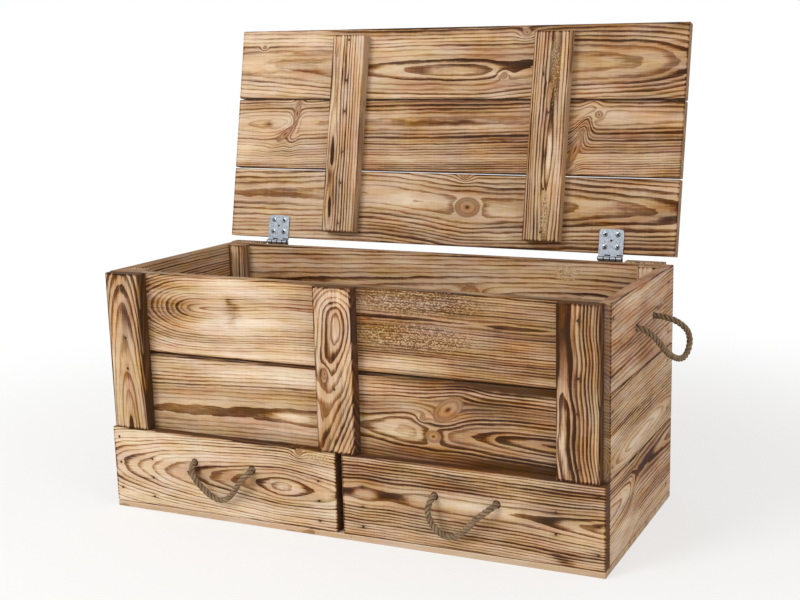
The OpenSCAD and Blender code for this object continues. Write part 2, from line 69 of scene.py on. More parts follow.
# The ropes' routes in millimetres: along the board, out of its face and up, from the middle between
# the holes. Each starts and ends at the board's inner face.
LEFT_ROPE = [
    (-51, -18, 0), (-51, -7, 0), (-51, 2, 0), (-49, 10, -3), (-45, 16, -10), (-39, 18, -19),
    (-32, 17, -28), (-24, 14, -38), (-14, 12, -46), (-3, 11, -50), (8, 11, -48), (17, 12, -42),
    (25, 14, -34), (32, 16, -25), (39, 17, -16), (46, 15, -8), (50, 9, -3), (51, 2, 0),
    (51, -7, 0), (51, -18, 0),
]
RIGHT_ROPE = [
    (-47, -18, 0), (-47, -7, 0), (-47, 2, 0), (-48, 10, -3), (-49, 16, -10), (-49, 18, -20),
    (-46, 17, -31), (-40, 15, -41), (-31, 13, -49), (-20, 12, -52), (-9, 12, -49), (1, 13, -42),
    (10, 14, -33), (18, 16, -24), (27, 17, -15), (36, 15, -8), (43, 10, -3), (47, 2, 0),
    (47, -7, 0), (47, -18, 0),
]
SIDE_ROPE = [
    (-45, -18, 0), (-45, -7, 0), (-45, 4, 0), (-43, 14, -4), (-38, 22, -12), (-30, 28, -22),
    (-18, 32, -33), (-4, 35, -43), (12, 38, -51), (28, 41, -57), (42, 45, -59), (54, 48, -54),
    (60, 50, -43), (59, 50, -31), (52, 48, -20), (45, 42, -11), (41, 32, -4), (41, 21, -1),
    (44, 11, 0), (45, 1, 0), (45, -18, 0),
]


def linear(code):
    """An sRGB hex colour as the linear RGBA that Blender's sockets take."""
    parts = [int(code[i : i + 2], 16) / 255 for i in (1, 3, 5)]
    return tuple(c / 12.92 if c <= 0.04045 else ((c + 0.055) / 1.055) ** 2.4 for c in parts) + (1,)


def colour(label, description, code):
    """A colour property with its default given as an sRGB hex value."""
    return FloatVectorProperty(
        name=label, description=description, default=linear(code), size=4, subtype="COLOR", min=0, max=1
    )


def size(label, description, millimetres):
    """A length property with its default given in millimetres."""
    return FloatProperty(
        name=label, description=description, default=millimetres * MM, min=0, subtype="DISTANCE", precision=4
    )


def add(tree, kind, inputs=(), **settings):
    """Adds a node. Inputs come by place or by name, as a value, a socket, or a node for its first output."""
    node = tree.nodes.new(kind)
    for key, value in settings.items():
        setattr(node, key, value)
    for key, value in inputs.items() if isinstance(inputs, dict) else enumerate(inputs):
        if isinstance(value, bpy.types.Node):
            value = value.outputs[0]
        if isinstance(value, bpy.types.NodeSocket):
            tree.links.new(value, node.inputs[key])
        elif value is not None:
            node.inputs[key].default_value = value
    return node


def new_material(name):
    """An empty material and its node tree."""
    material = bpy.data.materials.new(name)
    material.use_nodes = True
    material.node_tree.nodes.clear()
    return material, material.node_tree


def new_object(name, data):
    """An object for the data, linked to the scene."""
    thing = bpy.data.objects.new(name, data)
    bpy.context.scene.collection.objects.link(thing)
    return thing


def sway(tree, noise, amount, before):
    """Makes a value sway with noise from 0 to 1, by half the amount to either side."""
    swing = add(tree, MATH, (noise, 0.5), operation="SUBTRACT")
    return add(tree, MATH, (swing, amount, before), operation="MULTIPLY_ADD")


def seen_directly(tree):
    """1 for what the camera sees, also in metal or through glass, and 0 for what only lights the scene."""
    path = add(tree, "ShaderNodeLightPath")
    seen = add(tree, MATH, (path.outputs["Is Camera Ray"], path.outputs["Is Glossy Ray"]),
               operation="MAXIMUM")
    return add(tree, MATH, (seen, path.outputs["Is Transmission Ray"]), operation="MAXIMUM")


# ---- Settings ----


class PineSettings(bpy.types.PropertyGroup):
    """Flamed and brushed pine."""

    pale: colour("Pale wood", "Early wood that the flame hardly touched", "#E6D2B9")
    straw: colour("Straw", "Early wood, lightly toasted", "#D1B391")
    toast: colour("Toast", "Wood that the flame browned", "#B28D67")
    brown: colour("Brown", "Late wood under a short flame", "#8C633E")
    umber: colour("Umber", "Late wood under a long flame", "#5E3A1E")
    char: colour("Char", "Late wood and edges, burnt black-brown", "#3A2210")
    knot: colour("Knot", "Heart of a knot", "#B48961")
    torn: colour("Torn wood", "Fuzzy wood where the saw tore the surface", "#CFB085")
    side: colour("Board sides", "Narrow sides of the boards, scorched evenly", "#A88868")
    relief: size("Relief", "Height of the late wood above the brushed early wood", 0.35)
    roughness: FloatProperty(
        name="Roughness", description="Dull, brushed surface", default=0.7, min=0, max=1, subtype="FACTOR"
    )


class RopeSettings(bpy.types.PropertyGroup):
    """Three-strand jute rope."""

    diameter: size("Diameter", "Over the strands", 9.4)
    strand: size("Strand radius", "Radius of one of the three strands", 2.25)
    lay: size("Lay", "Length of one full turn of a strand", 21)
    step: size("Step", "Distance between the rings of a strand's mesh", 1.2)
    sides: IntProperty(name="Sides", description="Faces round a strand", default=9, min=5, max=16)
    hairs: IntProperty(name="Hairs", description="Loose fibres on 100 mm of rope", default=60, min=0, max=400)
    fibre: colour("Fibre", "Lit fibres", "#A38A6E")
    # The groove colour is painted shade between the strands
    groove_shade: colour("Groove", "Between the strands", "#3C2818")


class MetalSettings(bpy.types.PropertyGroup):
    """Nails, hinges and their screws."""

    nail_head: size("Nail head", "Diameter of a nail's head", 4.2)
    nail_proud: size("Nail crown", "Height of a nail head's crown above the wood", 0.5)
    nail_shank: size("Nail shank", "Diameter of a nail's shank", 2.4)
    screw_head: size("Screw head", "Diameter of a hinge screw's head", 9)
    screw_crown: size("Screw crown", "Height of a screw head's crown above the leaf", 0.7)
    cross: size("Cross", "Length of the cross recess in a screw head", 6)
    zinc: colour("Zinc", "Zinc plate", "#9298A0")
    steel: colour("Steel", "Steel of the nails, browned by the flame", "#5A4634")


class StudioSettings(bpy.types.PropertyGroup):
    """Camera, floor and lamps."""

    eye: FloatVectorProperty(
        name="Eye", description="Place of the camera", default=(0.8533, -1.65285, 0.67942),
        subtype="TRANSLATION",
    )
    heading: FloatProperty(
        name="Heading", description="Turn of the view to the left of the depth axis",
        default=math.radians(22.24), subtype="ANGLE",
    )
    dip: FloatProperty(
        name="Dip", description="Tilt of the view below the horizon",
        default=math.radians(11.22), subtype="ANGLE",
    )
    roll: FloatProperty(
        name="Roll", description="Turn of the camera about its view",
        default=math.radians(-0.63), subtype="ANGLE",
    )
    lens: FloatProperty(name="Lens", description="Focal length in millimetres", default=55.18, min=1)
    shift: FloatVectorProperty(
        name="Shift", description="Shift of the picture, as shares of its width",
        default=(-0.1241, 0.0064), size=2,
    )
    floor: colour("Floor", "Pale studio floor", "#F2F0EC")
    sky: FloatProperty(name="Soft light", description="Even light from all round", default=0.62, min=0)
    key: FloatProperty(name="Key lamp", description="Power of the main lamp, in watts", default=58, min=0)
    fill: FloatProperty(name="Fill lamp", description="Power of the fill lamp, in watts", default=16, min=0)


# ---- Ropes ----


HAIR_LENGTHS = (2 * MM, 5 * MM)  # shortest and longest loose fibre
HAIR_RADII = [0.16 * MM, 0.12 * MM, 0.05 * MM]  # from root to tip, thicker than jute's so that they show


def smooth_line(points, step):
    """Points about one step apart on a smooth curve through the given points."""
    ends = [2 * points[0] - points[1], *points, 2 * points[-1] - points[-2]]
    line = []
    for a, b, c, d in zip(ends, ends[1:], ends[2:], ends[3:]):
        count = max(1, round((c - b).length / step))
        for t in (k / count for k in range(count)):
            line.append(0.5 * (2 * b + (c - a) * t + (2 * a - 5 * b + 4 * c - d) * t**2
                               + (3 * b - a - 3 * c + d) * t**3))
    return [*line, points[-1]]


def carried_frames(line):
    """Tangent and two directions across at each point, carried along the line without twist."""
    frames = []
    side = Vector((0, 0, 1))
    for i in range(len(line)):
        tangent = (line[min(i + 1, len(line) - 1)] - line[max(i - 1, 0)]).normalized()
        if not frames and abs(tangent.z) > 0.9:
            side = Vector((1, 0, 0))
        side = (side - side.dot(tangent) * tangent).normalized()
        frames.append((tangent, side, tangent.cross(side)))
    return frames


def travelled(line):
    """Length along the line at each of its points."""
    lengths = [0.0]
    for a, b in zip(line, line[1:]):
        lengths.append(lengths[-1] + (b - a).length)
    return lengths


def add_tube(bm, uv, line, radius, sides, core=None):
    """A closed tube round a line, with UV along and around in metres. The radius may change along it. Each
    vertex of a strand also keeps its distance from the core that the strand is laid round."""
    frames, lengths = carried_frames(line), travelled(line)
    radii = radius if isinstance(radius, list) else [radius] * len(line)
    reach = bm.verts.layers.float["reach"]
    rings = []
    for i, (point, (_, u, v), r) in enumerate(zip(line, frames, radii)):
        turns = [math.tau * k / sides for k in range(sides)]
        rings.append([bm.verts.new(point + r * (math.cos(t) * u + math.sin(t) * v)) for t in turns])
        for vertex in rings[-1]:
            vertex[reach] = (vertex.co - core[i]).length if core else 1.0
    for i, (near, far) in enumerate(zip(rings, rings[1:])):
        for k in range(sides):
            face = bm.faces.new((near[k], near[(k + 1) % sides], far[(k + 1) % sides], far[k]))
            face.smooth = True
            around = math.tau * max(radii) / sides
            corners = ((i, k), (i, k + 1), (i + 1, k + 1), (i + 1, k))
            for loop, (ring, spoke) in zip(face.loops, corners):
                loop[uv].uv = (lengths[ring], spoke * around)
    bm.faces.new(reversed(rings[0]))
    bm.faces.new(rings[-1])


def add_laid_rope(bm, uv, line, rope, fray=0.0):
    """Three strands laid round a line. Over the last stretch of length fray they open a little."""
    frames, lengths = carried_frames(line), travelled(line)
    offset = rope.diameter / 2 - rope.strand
    for strand in range(3):
        path = []
        for point, (_, u, v), length in zip(line, frames, lengths):
            turn = math.tau * (strand / 3 + length / rope.lay)
            loose = max(0.0, 1 - (lengths[-1] - length) / fray) if fray else 0.0
            path.append(point + offset * (1 + 0.5 * loose) * (math.cos(turn) * u + math.sin(turn) * v))
        add_tube(bm, uv, path, rope.strand, rope.sides, core=line)


def add_hairs(bm, uv, line, rope, seed):
    """Loose fibres that stand off the rope."""
    rng = random.Random(seed)
    frames, lengths = carried_frames(line), travelled(line)
    for _ in range(round(rope.hairs * lengths[-1] / (100 * MM))):
        i = rng.randrange(len(line) - 1)
        tangent, u, v = frames[i]
        turn = rng.uniform(0, math.tau)
        out = math.cos(turn) * u + math.sin(turn) * v
        way = (tangent * rng.choice((-1, 1)) + out * rng.uniform(0.25, 0.8)).normalized()
        start = line[i] + out * rope.diameter * 0.4
        reach = rng.uniform(*HAIR_LENGTHS)
        bow = out.cross(way) * reach * rng.uniform(-0.3, 0.3)
        path = [start, start + way * reach * 0.5 + bow, start + way * reach]
        add_tube(bm, uv, path, HAIR_RADII, 3)


def mesh_piece(name, build, material, body):
    """A piece whose mesh is made by build(bmesh, uv layer), riding on a body."""
    bm = bmesh.new()
    uv = bm.loops.layers.uv.new("UVMap")
    bm.verts.layers.float.new("reach")
    build(bm, uv)
    bmesh.ops.recalc_face_normals(bm, faces=bm.faces)
    mesh = bpy.data.meshes.new(name)
    bm.to_mesh(mesh)
    bm.free()
    mesh.materials.append(material)
    piece = new_object(name, mesh)
    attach(piece, body)
    return piece


def jute(rope):
    """Jute: coarse plant fibre, spun and laid. Dull and streaked along each strand, with painted shade between
    strands.
    """
    material, tree = new_material("jute_rope")
    place = add(tree, "ShaderNodeTexCoord").outputs["UV"]
    # Fibres 0.4 mm wide and 12 mm long, turned a little as they are spun, in blotches 6 mm by 17 mm
    spun = add(tree, "ShaderNodeMapping", {"Vector": place, "Rotation": (0, 0, 0.35), "Scale": (80, 2600, 1)})
    streaks = add(tree, NOISE, {"Vector": spun, "Scale": 1.0, "Detail": 3.0, "Roughness": 0.6})
    spread = add(tree, VECTOR, (place, (60, 160, 1)), operation="MULTIPLY")
    blotch = add(tree, NOISE, {"Vector": spread, "Scale": 1.0, "Detail": 1.0})
    shade = add(tree, MATH, (blotch, 0.35), operation="MULTIPLY")
    shade = add(tree, MATH, (streaks, 0.65, shade), operation="MULTIPLY_ADD")
    level = add(tree, RANGE, {"Value": shade, "From Min": 0.36, "From Max": 0.64, "To Min": 0.2})
    # Painted shade where the strands meet, darker deeper in the grooves
    reach = add(tree, "ShaderNodeAttribute", attribute_name="reach").outputs["Fac"]
    unshaded = add(tree, RANGE, {"Value": reach, "From Min": 0.26 * rope.diameter,
                                 "From Max": 0.45 * rope.diameter})
    level = add(tree, MATH, (level, unshaded), operation="MULTIPLY")
    tint = add(tree, MIX, {"Factor": level, "A": rope.groove_shade, "B": rope.fibre}, data_type="RGBA")
    bump = add(tree, "ShaderNodeBump", {"Height": streaks, "Strength": 0.6, "Distance": 0.4 * MM})
    shader = add(tree, "ShaderNodeBsdfPrincipled", {"Base Color": tint.outputs["Result"], "Normal": bump})
    shader.inputs["Roughness"].default_value = 0.9
    shader.inputs["Specular IOR Level"].default_value = 0.1
    add(tree, "ShaderNodeOutputMaterial", {"Surface": shader})
    return material


# ---- Wood ----


@dataclass
class Grain:
    """How a board was cut from its log and flamed. Lengths in millimetres on its show face: x runs along
    the grain and y across it, both from the middle of the face. A list of points (x, value) gives a value
    that changes smoothly along the board."""

    heart: tuple = ((0, 0),)  # (x, y) points under which the log's heart lies
    depth: tuple = ((0, 30),)  # (x, depth) how deep it lies behind the face
    ring: float = 4.5  # width of a year ring
    burn: tuple = ((0, 0.4),)  # (x, burn) from 0, hardly flamed, to 1, dark all over
    bite: float = 1.0  # how deep the flame bit into the late wood
    edge: float = 0.4  # how dark the edges of the face are: partly the flame, partly painted shade at the seams
    sides: float = 0.2  # how dark the board's narrow sides are: partly the flame, partly painted shade
    hue: float = 0.5  # below 0.5 the wood is redder, above it is yellower
    scorches: tuple = ()  # (x, y, length, width, amount) darker spots, or paler if below 0
    knots: tuple = ()  # (x, y, length, width, turn in degrees)
    torn: tuple = ()  # (x, y, length, width, dark) where the saw tore the surface, dark from 0 to 1
    seed: int = 0


LEAN = math.radians(11.4)  # of the open lid, back from upright
UP_LID = (0, math.sin(LEAN), math.cos(LEAN))
LID_FACE = (0, -math.cos(LEAN), math.sin(LEAN))
DOWN_LID = tuple(-c for c in UP_LID)

# Directions along the grain, across it and out of the show face
FRONT = ((1, 0, 0), (0, 0, 1), (0, -1, 0))
FRONT_UPRIGHT = ((0, 0, -1), (1, 0, 0), (0, -1, 0))
REAR_UPRIGHT = ((0, 0, -1), (-1, 0, 0), (0, 1, 0))
RIGHT = ((0, 1, 0), (0, 0, 1), (1, 0, 0))
LEFT = ((0, -1, 0), (0, 0, 1), (-1, 0, 0))
LEVEL = ((1, 0, 0), (0, 1, 0), (0, 0, 1))
LEVEL_DEEP = ((0, 1, 0), (-1, 0, 0), (0, 0, 1))
LID = ((1, 0, 0), UP_LID, LID_FACE)
LID_UPRIGHT = (DOWN_LID, (1, 0, 0), LID_FACE)

FLAMED = {
    "base_boards": (LEVEL, Grain(
        heart=((0, 140),), depth=((0, 20),), burn=((0, 0.1),), edge=0.2, seed=1)),
    "side_left_board_1": (LEFT, Grain(
        heart=((-162, -20), (162, -8)), depth=((-162, 8), (162, 40)), burn=((0, 0.5),), seed=2)),
    "side_left_board_2": (LEFT, Grain(
        heart=((0, 30),), depth=((0, 60),), burn=((0, 0.5),), seed=3)),
    "side_left_board_3": (LEFT, Grain(
        heart=((0, -90),), burn=((0, 0.5),), seed=4)),
    "side_right_board_1": (RIGHT, Grain(
        heart=((-162, 14), (-70, 20), (-20, 34), (162, 36)),
        depth=((-162, 8), (-75, 18), (-30, 30), (162, 26)), ring=4.4, burn=((0, 0.46),), bite=0.85, hue=0.497,
        scorches=((40, 40, 110, 22, 0.2), (0, -40, 160, 24, -0.15)), seed=5)),
    "side_right_board_2": (RIGHT, Grain(
        heart=((-162, -42), (162, -30)), depth=((-162, 18), (-40, 10), (60, 12), (162, 20)), ring=4.2,
        burn=((0, 0.46),), bite=0.75, scorches=((0, 4, 160, 4, 0.35), (0, -36, 150, 20, -0.1)), seed=6)),
    "side_right_board_3": (RIGHT, Grain(
        heart=((-162, -66), (162, -50)), depth=((0, 22),), ring=5.2, burn=((0, 0.54),), bite=0.6, hue=0.49,
        scorches=((85, 10, 26, 3, 0.4), (-120, -10, 50, 12, 0.2), (0, 40, 160, 20, -0.15)), seed=7)),
    "front_board_lower": (FRONT, Grain(
        heart=((-382, -27), (-320, -25), (-110, -15), (90, -14), (250, -15), (382, -20)),
        depth=((-382, 33), (-320, 32), (-110, 30.6), (33, 27), (90, 21), (212, 16.5), (250, 12), (320, 9),
               (382, 8)),
        ring=4.5, burn=((-382, 0.52), (-50, 0.52), (20, 0.62), (382, 0.65)), bite=0.78, edge=0.6,
        scorches=((-200, -20, 110, 13, -0.08), (-90, -15, 30, 8, -0.4), (-150, 46, 200, 18, -0.3),
                  (310, -55, 130, 10, 1.2), (320, 58, 160, 6, 1.3), (75, -15, 45, 16, -0.2),
                  (250, 30, 60, 20, 0.2)),
        knots=((165, 20, 26, 14, 35), (126, 5, 5, 4, 0), (142, -21, 12, 9, 0)), seed=8)),
    "front_board_upper": (FRONT, Grain(
        heart=((-382, 12), (-245, 12), (-48, 22), (262, 18), (382, 16)),
        depth=((-382, 48), (-335, 36), (-262, 8), (-235, 3), (-200, 2), (130, 3), (210, 3.6), (262, 2),
               (315, 3.8), (382, 7)),
        ring=3.8, burn=((-382, 0.54), (-300, 0.52), (-190, 0.24), (-60, 0.44), (20, 0.66), (382, 0.68)),
        bite=0.68,
        scorches=((-292, 12, 44, 14, 0.35), (-185, 24, 7, 6, 0.5), (-181, 2, 9, 15, 0.3),
                  (95, -46, 70, 12, -0.3), (60, 20, 40, 2.5, 0.7), (238, 16, 9, 2, 0.7)),
        torn=((120, 44, 105, 20, 1), (110, -6, 95, 21, 0.8)), seed=9)),
    "back_board_1": (FRONT, Grain(
        heart=((0, -10),), depth=((-382, 30), (382, 50)), burn=((0, 0.4),), seed=10)),
    "back_board_2": (FRONT, Grain(
        heart=((0, 20),), depth=((-382, 60), (382, 20)), burn=((0, 0.4),), seed=11)),
    "back_board_3": (FRONT, Grain(
        heart=((-382, -20), (382, 0)), depth=((-382, 34), (0, 22), (275, 12), (330, 20), (382, 30)), ring=6.5,
        burn=((0, 0.5),), scorches=((-260, 0, 90, 12, 0.4), (285, 2, 60, 14, 0.35)),
        knots=((68, 0, 16, 11, 0),), torn=((235, 42, 24, 15, 0),), seed=12)),
    "front_stile_left": (FRONT_UPRIGHT, Grain(
        heart=((-121, -3), (121, 0)),
        depth=((-121, 36), (-105, 33), (-73, 27.5), (-25, 22), (30, 16.5), (62, 11), (107, 5.5), (121, 4)),
        ring=5.5, burn=((0, 0.5),), bite=0.85, edge=0.6, sides=0.9, hue=0.504,
        scorches=((-45, 0, 30, 12, 0.3), (0, 28, 120, 4, 0.5)), seed=13)),
    "front_stile_middle": (FRONT_UPRIGHT, Grain(
        heart=((-121, 6), (-60, 5), (0, -8), (50, -14), (121, -44)),
        depth=((-121, 39), (-110, 30), (-95, 18), (-85, 12), (-60, 8), (-35, 12), (-8, 18), (15, 24),
               (35, 30), (50, 35), (121, 38)),
        ring=6, burn=((0, 0.5),), bite=0.85, edge=0.6, sides=0.9,
        scorches=((5, -15, 10, 7, 0.4), (100, -15, 22, 8, 0.3)), knots=((5, -15, 8, 5, 0),), seed=14)),
    "front_stile_right": (FRONT_UPRIGHT, Grain(
        heart=((-121, -20), (-85, -22), (-45, -19), (-5, -21), (35, -18), (75, -19), (121, -12)),
        depth=((-121, 22), (-20, 21.4), (20, 19.6), (121, 18)),
        ring=4.2, burn=((0, 0.66),), bite=0.9, edge=0.6, sides=0.9,
        scorches=((-72, -22, 52, 9, 0.6), (48, -22, 70, 8, -0.3)), seed=15)),
    "back_stile_left": (REAR_UPRIGHT, Grain(burn=((0, 0.45),), seed=16)),
    "back_stile_right": (REAR_UPRIGHT, Grain(heart=((0, 10),), burn=((0, 0.4),), seed=17)),
    "corner_posts_front": (FRONT_UPRIGHT, Grain(heart=((0, -350),), burn=((0, 0.35),), seed=18)),
    "corner_post_back_left": (FRONT_UPRIGHT, Grain(heart=((0, -20),), burn=((0, 0.5),), seed=19)),
    "corner_post_back_right": (FRONT_UPRIGHT, Grain(heart=((0, 20),), burn=((0, 0.4),), seed=20)),
    "lid_board_1": (LID, Grain(
        heart=((-401, 16), (-130, 21), (-40, 14), (50, 5), (245, 10), (401, 10)),
        depth=((-401, 30), (-225, 28), (-130, 25.4), (-60, 25.6), (30, 25.2), (100, 25.4), (200, 28),
               (245, 30.5), (378, 36.5), (401, 38)),
        ring=6, burn=((-401, 0.4), (-225, 0.46), (0, 0.52), (250, 0.58), (401, 0.58)), edge=0.25,
        scorches=((-300, 16, 120, 9, 0.15), (-60, 15, 50, 10, -0.35), (378, 8, 22, 25, 0.2)),
        knots=((50, 5, 22, 16, 0), (42, 56, 8, 5, 0)), seed=21)),
    "lid_board_2": (LID, Grain(
        heart=((-401, 17), (-335, 17), (-200, 20), (401, 34)),
        depth=((-401, 24.4), (-335, 21.6), (-260, 23.5), (-150, 22.6), (0, 22.3), (150, 22.6), (401, 25.2)),
        ring=4, burn=((-401, 0.36), (-150, 0.54), (0, 0.62), (401, 0.6)), bite=0.78, edge=0.25, hue=0.498,
        scorches=((0, 22, 110, 4, 0.4), (-335, 17, 12, 4, 0.5), (100, -2, 60, 4, 0.3)),
        knots=((265, 37, 7, 6, 0), (-282, 36, 24, 6, 80), (-304, 0, 20, 6, 40), (229, -18, 34, 7, 70)),
        seed=22)),
    "lid_board_3": (LID, Grain(
        heart=((-401, 2), (-225, -6), (-120, -12), (40, -12), (200, -2), (401, 0)),
        depth=((-401, 32), (-225, 25.6), (-120, 19.4), (-40, 15.6), (30, 14), (60, 15.4), (95, 19.4),
               (262, 25.6), (350, 31.8), (385, 37.6), (401, 40)),
        ring=6.2, burn=((-401, 0.4), (-200, 0.44), (0, 0.52), (300, 0.64), (401, 0.6)), bite=0.9, edge=0.25,
        scorches=((0, 54, 400, 6, 0.3), (-270, 16, 50, 3, 0.4), (-310, -12, 90, 3, 0.35),
                  (-20, -12, 80, 14, -0.12)),
        knots=((-356, 30, 4, 3, 0), (100, -22, 6, 5, 0), (135, 48, 8, 6, 0)), seed=23)),
    "lid_batten_left": (LID_UPRIGHT, Grain(
        heart=((-166, -20), (166, -18)), depth=((-166, 8), (-60, 9), (40, 4), (75, 8), (120, 4), (166, 8)),
        ring=5, burn=((0, 0.38),),
        scorches=((-125, -4, 40, 3, 0.4), (32, -20, 40, 7, 0.6), (122, -17, 42, 6, 0.55)), seed=24)),
    "lid_batten_right": (LID_UPRIGHT, Grain(
        heart=((-166, 7), (166, 7)), depth=((-166, 10), (-60, 9), (30, 6), (90, 9), (166, 12)), ring=4.5,
        burn=((0, 0.46),),
        scorches=((30, -4, 60, 3, 0.5), (30, 7, 50, 4, -0.35), (-100, 8, 55, 6, 0.4), (-85, -8, 55, 2, 0.5)),
        torn=((-100, 8, 60, 9, 1), (130, 5, 44, 7, 0.7)), seed=25)),
    "drawer_left_front": (FRONT, Grain(
        heart=((-196, 2), (-38, 1), (105, 0), (196, -4)),
        depth=((-196, 53), (-180, 50), (-135, 44.5), (-103, 39.5), (-38, 33.5), (27, 28), (68, 24),
               (105, 20.5), (150, 24), (196, 28)),
        ring=3.6, burn=((0, 0.26),), sides=0.9,
        scorches=((105, 0, 62, 26, 0.45), (105, 0, 30, 10, -0.6), (-30, 0, 90, 18, 0.2)),
        knots=((137, 55, 6, 5, 0),), torn=((167, 48, 24, 8, 0),), seed=26)),
    "drawer_right_front": (FRONT, Grain(
        heart=((-198, 6), (-60, 5), (78, 2), (150, 0), (198, 0)),
        depth=((-198, 21.5), (-190, 21.4), (-165, 19.8), (-120, 21.4), (-70, 19), (0, 19), (92, 18.2),
               (165, 14.4), (185, 13), (198, 12)),
        ring=3.8, burn=((0, 0.5),), sides=0.9,
        scorches=((0, 40, 190, 16, 0.15), (140, -52, 14, 6, 0.6), (10, 5, 70, 9, -0.3), (120, 4, 34, 14, 0.3),
                  (-120, 6, 28, 5, 0.6), (-190, 6, 12, 5, 0.5)), seed=27)),
}
PLAIN = {
    "chest_floor": (LEVEL, Grain(heart=((0, 40),), seed=31)),
    "floor_cleats": (LEVEL_DEEP, Grain(heart=((0, 60),), seed=32)),
    "bay_divider": (RIGHT, Grain(heart=((0, 10),), seed=33)),
    "drawer_guides": (LEVEL_DEEP, Grain(heart=((0, 60),), seed=34)),
    "drawer_left_outer_side": (RIGHT, Grain(heart=((0, 12),), seed=35)),
    "drawer_left_inner_side": (RIGHT, Grain(heart=((0, -16),), seed=36)),
    "drawer_left_back": (FRONT, Grain(heart=((0, 6),), seed=37)),
    "drawer_left_bottom": (LEVEL, Grain(heart=((0, 30),), seed=38)),
    "drawer_right_outer_side": (RIGHT, Grain(heart=((0, -12),), seed=39)),
    "drawer_right_inner_side": (RIGHT, Grain(heart=((0, 16),), seed=40)),
    "drawer_right_back": (FRONT, Grain(heart=((0, -6),), seed=41)),
    "drawer_right_bottom": (LEVEL, Grain(heart=((0, -30),), seed=42)),
}


def board_place(node, directions):
    """Middle of a board's show face and half its length, width and thickness, in millimetres along its own
    directions."""
    turn = np.array(directions, float)
    places = np.array([v.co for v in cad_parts[node].data.vertices]) @ turn.T / MM
    low, high = places.min(0), places.max(0)
    middle = (low + high) / 2
    middle[2] = high[2]
    return middle, (high - low) / 2


def nails_on(nails, middle, half, directions):
    """Places (x, y) on a board's show face, in millimetres from its middle, of the nails driven into it."""
    for nail in nails:
        x, y, z = np.array(directions, float) @ np.array(nail) / MM - middle
        if abs(x) < half[0] and abs(y) < half[1] and abs(z) < 3:
            yield x, y


def along(tree, x, points):
    """A value that runs smoothly through the points (x, value) along the board."""
    if len(points) == 1:
        return points[0][1]
    node = add(tree, "ShaderNodeFloatCurve", {"Value": x})
    node.mapping.use_clip = False
    curve = node.mapping.curves[0]
    while len(curve.points) < len(points):
        curve.points.new(0, 0)
    for point, place in zip(curve.points, points):
        point.location = place
        point.handle_type = "AUTO_CLAMPED"
    node.mapping.update()
    return node


def bell(tree, far, height, before):
    """Adds a bell-shaped bump of that height: before + height * exp(-far squared)."""
    square = add(tree, MATH, (far, far), operation="MULTIPLY")
    fall = add(tree, MATH, (E_INVERSE, square), operation="POWER")
    return add(tree, MATH, (fall, height, before), operation="MULTIPLY_ADD")


def patch(tree, place, x, y, length, width, turn=0.0):
    """Distance from the middle of an oval patch of the board, 1 at its outline."""
    local = add(tree, "ShaderNodeMapping", {
        "Vector": place, "Location": (x, y, 0), "Rotation": (0, 0, math.radians(turn)),
        "Scale": (length, width, 1e6)}, vector_type="TEXTURE")
    return add(tree, VECTOR, (local,), operation="LENGTH").outputs["Value"]


def stretched_noise(tree, place, lengths, seed, **inputs):
    """Noise whose features have these lengths in millimetres along the board's directions."""
    scale = tuple(1 / length for length in lengths)
    start = tuple((seed * step) % 97 for step in (13.7, 5.3, 7.9))
    scaled = add(tree, VECTOR, (place, scale, start), operation="MULTIPLY_ADD")
    return add(tree, NOISE, {"Vector": scaled, "Scale": 1.0, **inputs})


def shades(tree, value, *colours):
    """Colours spread evenly over values from 0 to 1."""
    ramp = add(tree, "ShaderNodeValToRGB", (value,))
    elements = ramp.color_ramp.elements
    while len(elements) < len(colours):
        elements.new(0.5)
    for k, (element, shade) in enumerate(zip(elements, colours)):
        element.position = k / (len(colours) - 1)
        element.color = shade
    return ramp.outputs["Color"]


WANDER = 6.0  # how far the grain wanders across the board, in millimetres
KNOT_RISE = 1.6  # year rings that close round a knot
KNOT_PARTING = 0.85  # how far the grain parts round a knot, 1 if all the way
KNOT_FADE = 0.6  # the lower, the farther from the knot that begins
GROWTH = 20  # a run of good or poor years, in millimetres


def year_rings(tree, place, grain):
    """Distance from the heart of the log, in years, with the grain parting round the knots."""
    x, y, z = add(tree, "ShaderNodeSeparateXYZ", (place,)).outputs
    wander = stretched_noise(tree, place, (220, 70, 70), grain.seed, Detail=1.0)
    y = sway(tree, wander, WANDER, y)
    rise = 0.0
    for kx, ky, length, width, turn in grain.knots:
        far = patch(tree, place, kx, ky, length, width, turn)
        far = add(tree, MATH, (far, KNOT_FADE), operation="MULTIPLY")
        parted = add(tree, MATH, (y, ky), operation="SUBTRACT")
        parted = add(tree, MATH, (parted, -KNOT_PARTING), operation="MULTIPLY")
        y = bell(tree, far, parted, y)
        rise = bell(tree, far, KNOT_RISE, rise)
    away = add(tree, MATH, (y, along(tree, x, grain.heart)), operation="SUBTRACT")
    deep = add(tree, MATH, (z, along(tree, x, grain.depth)), operation="ADD")
    square = add(tree, MATH, (deep, deep), operation="MULTIPLY")
    square = add(tree, MATH, (away, away, square), operation="MULTIPLY_ADD")
    radius = add(tree, MATH, (square,), operation="SQRT")
    rings = add(tree, MATH, (radius, 1 / grain.ring, rise), operation="MULTIPLY_ADD")
    # Good and poor years, then the rings' waves
    growth = add(tree, MATH, (radius, 1 / GROWTH, grain.seed * 3.1), operation="MULTIPLY_ADD")
    growth = add(tree, NOISE, {"W": growth, "Scale": 1.0, "Detail": 1.0}, noise_dimensions="1D")
    rings = sway(tree, growth, 0.8, rings)
    ripple = stretched_noise(tree, place, (45, 12, 12), grain.seed + 1, Detail=3.0, Roughness=0.55)
    return sway(tree, ripple, 0.7, rings)


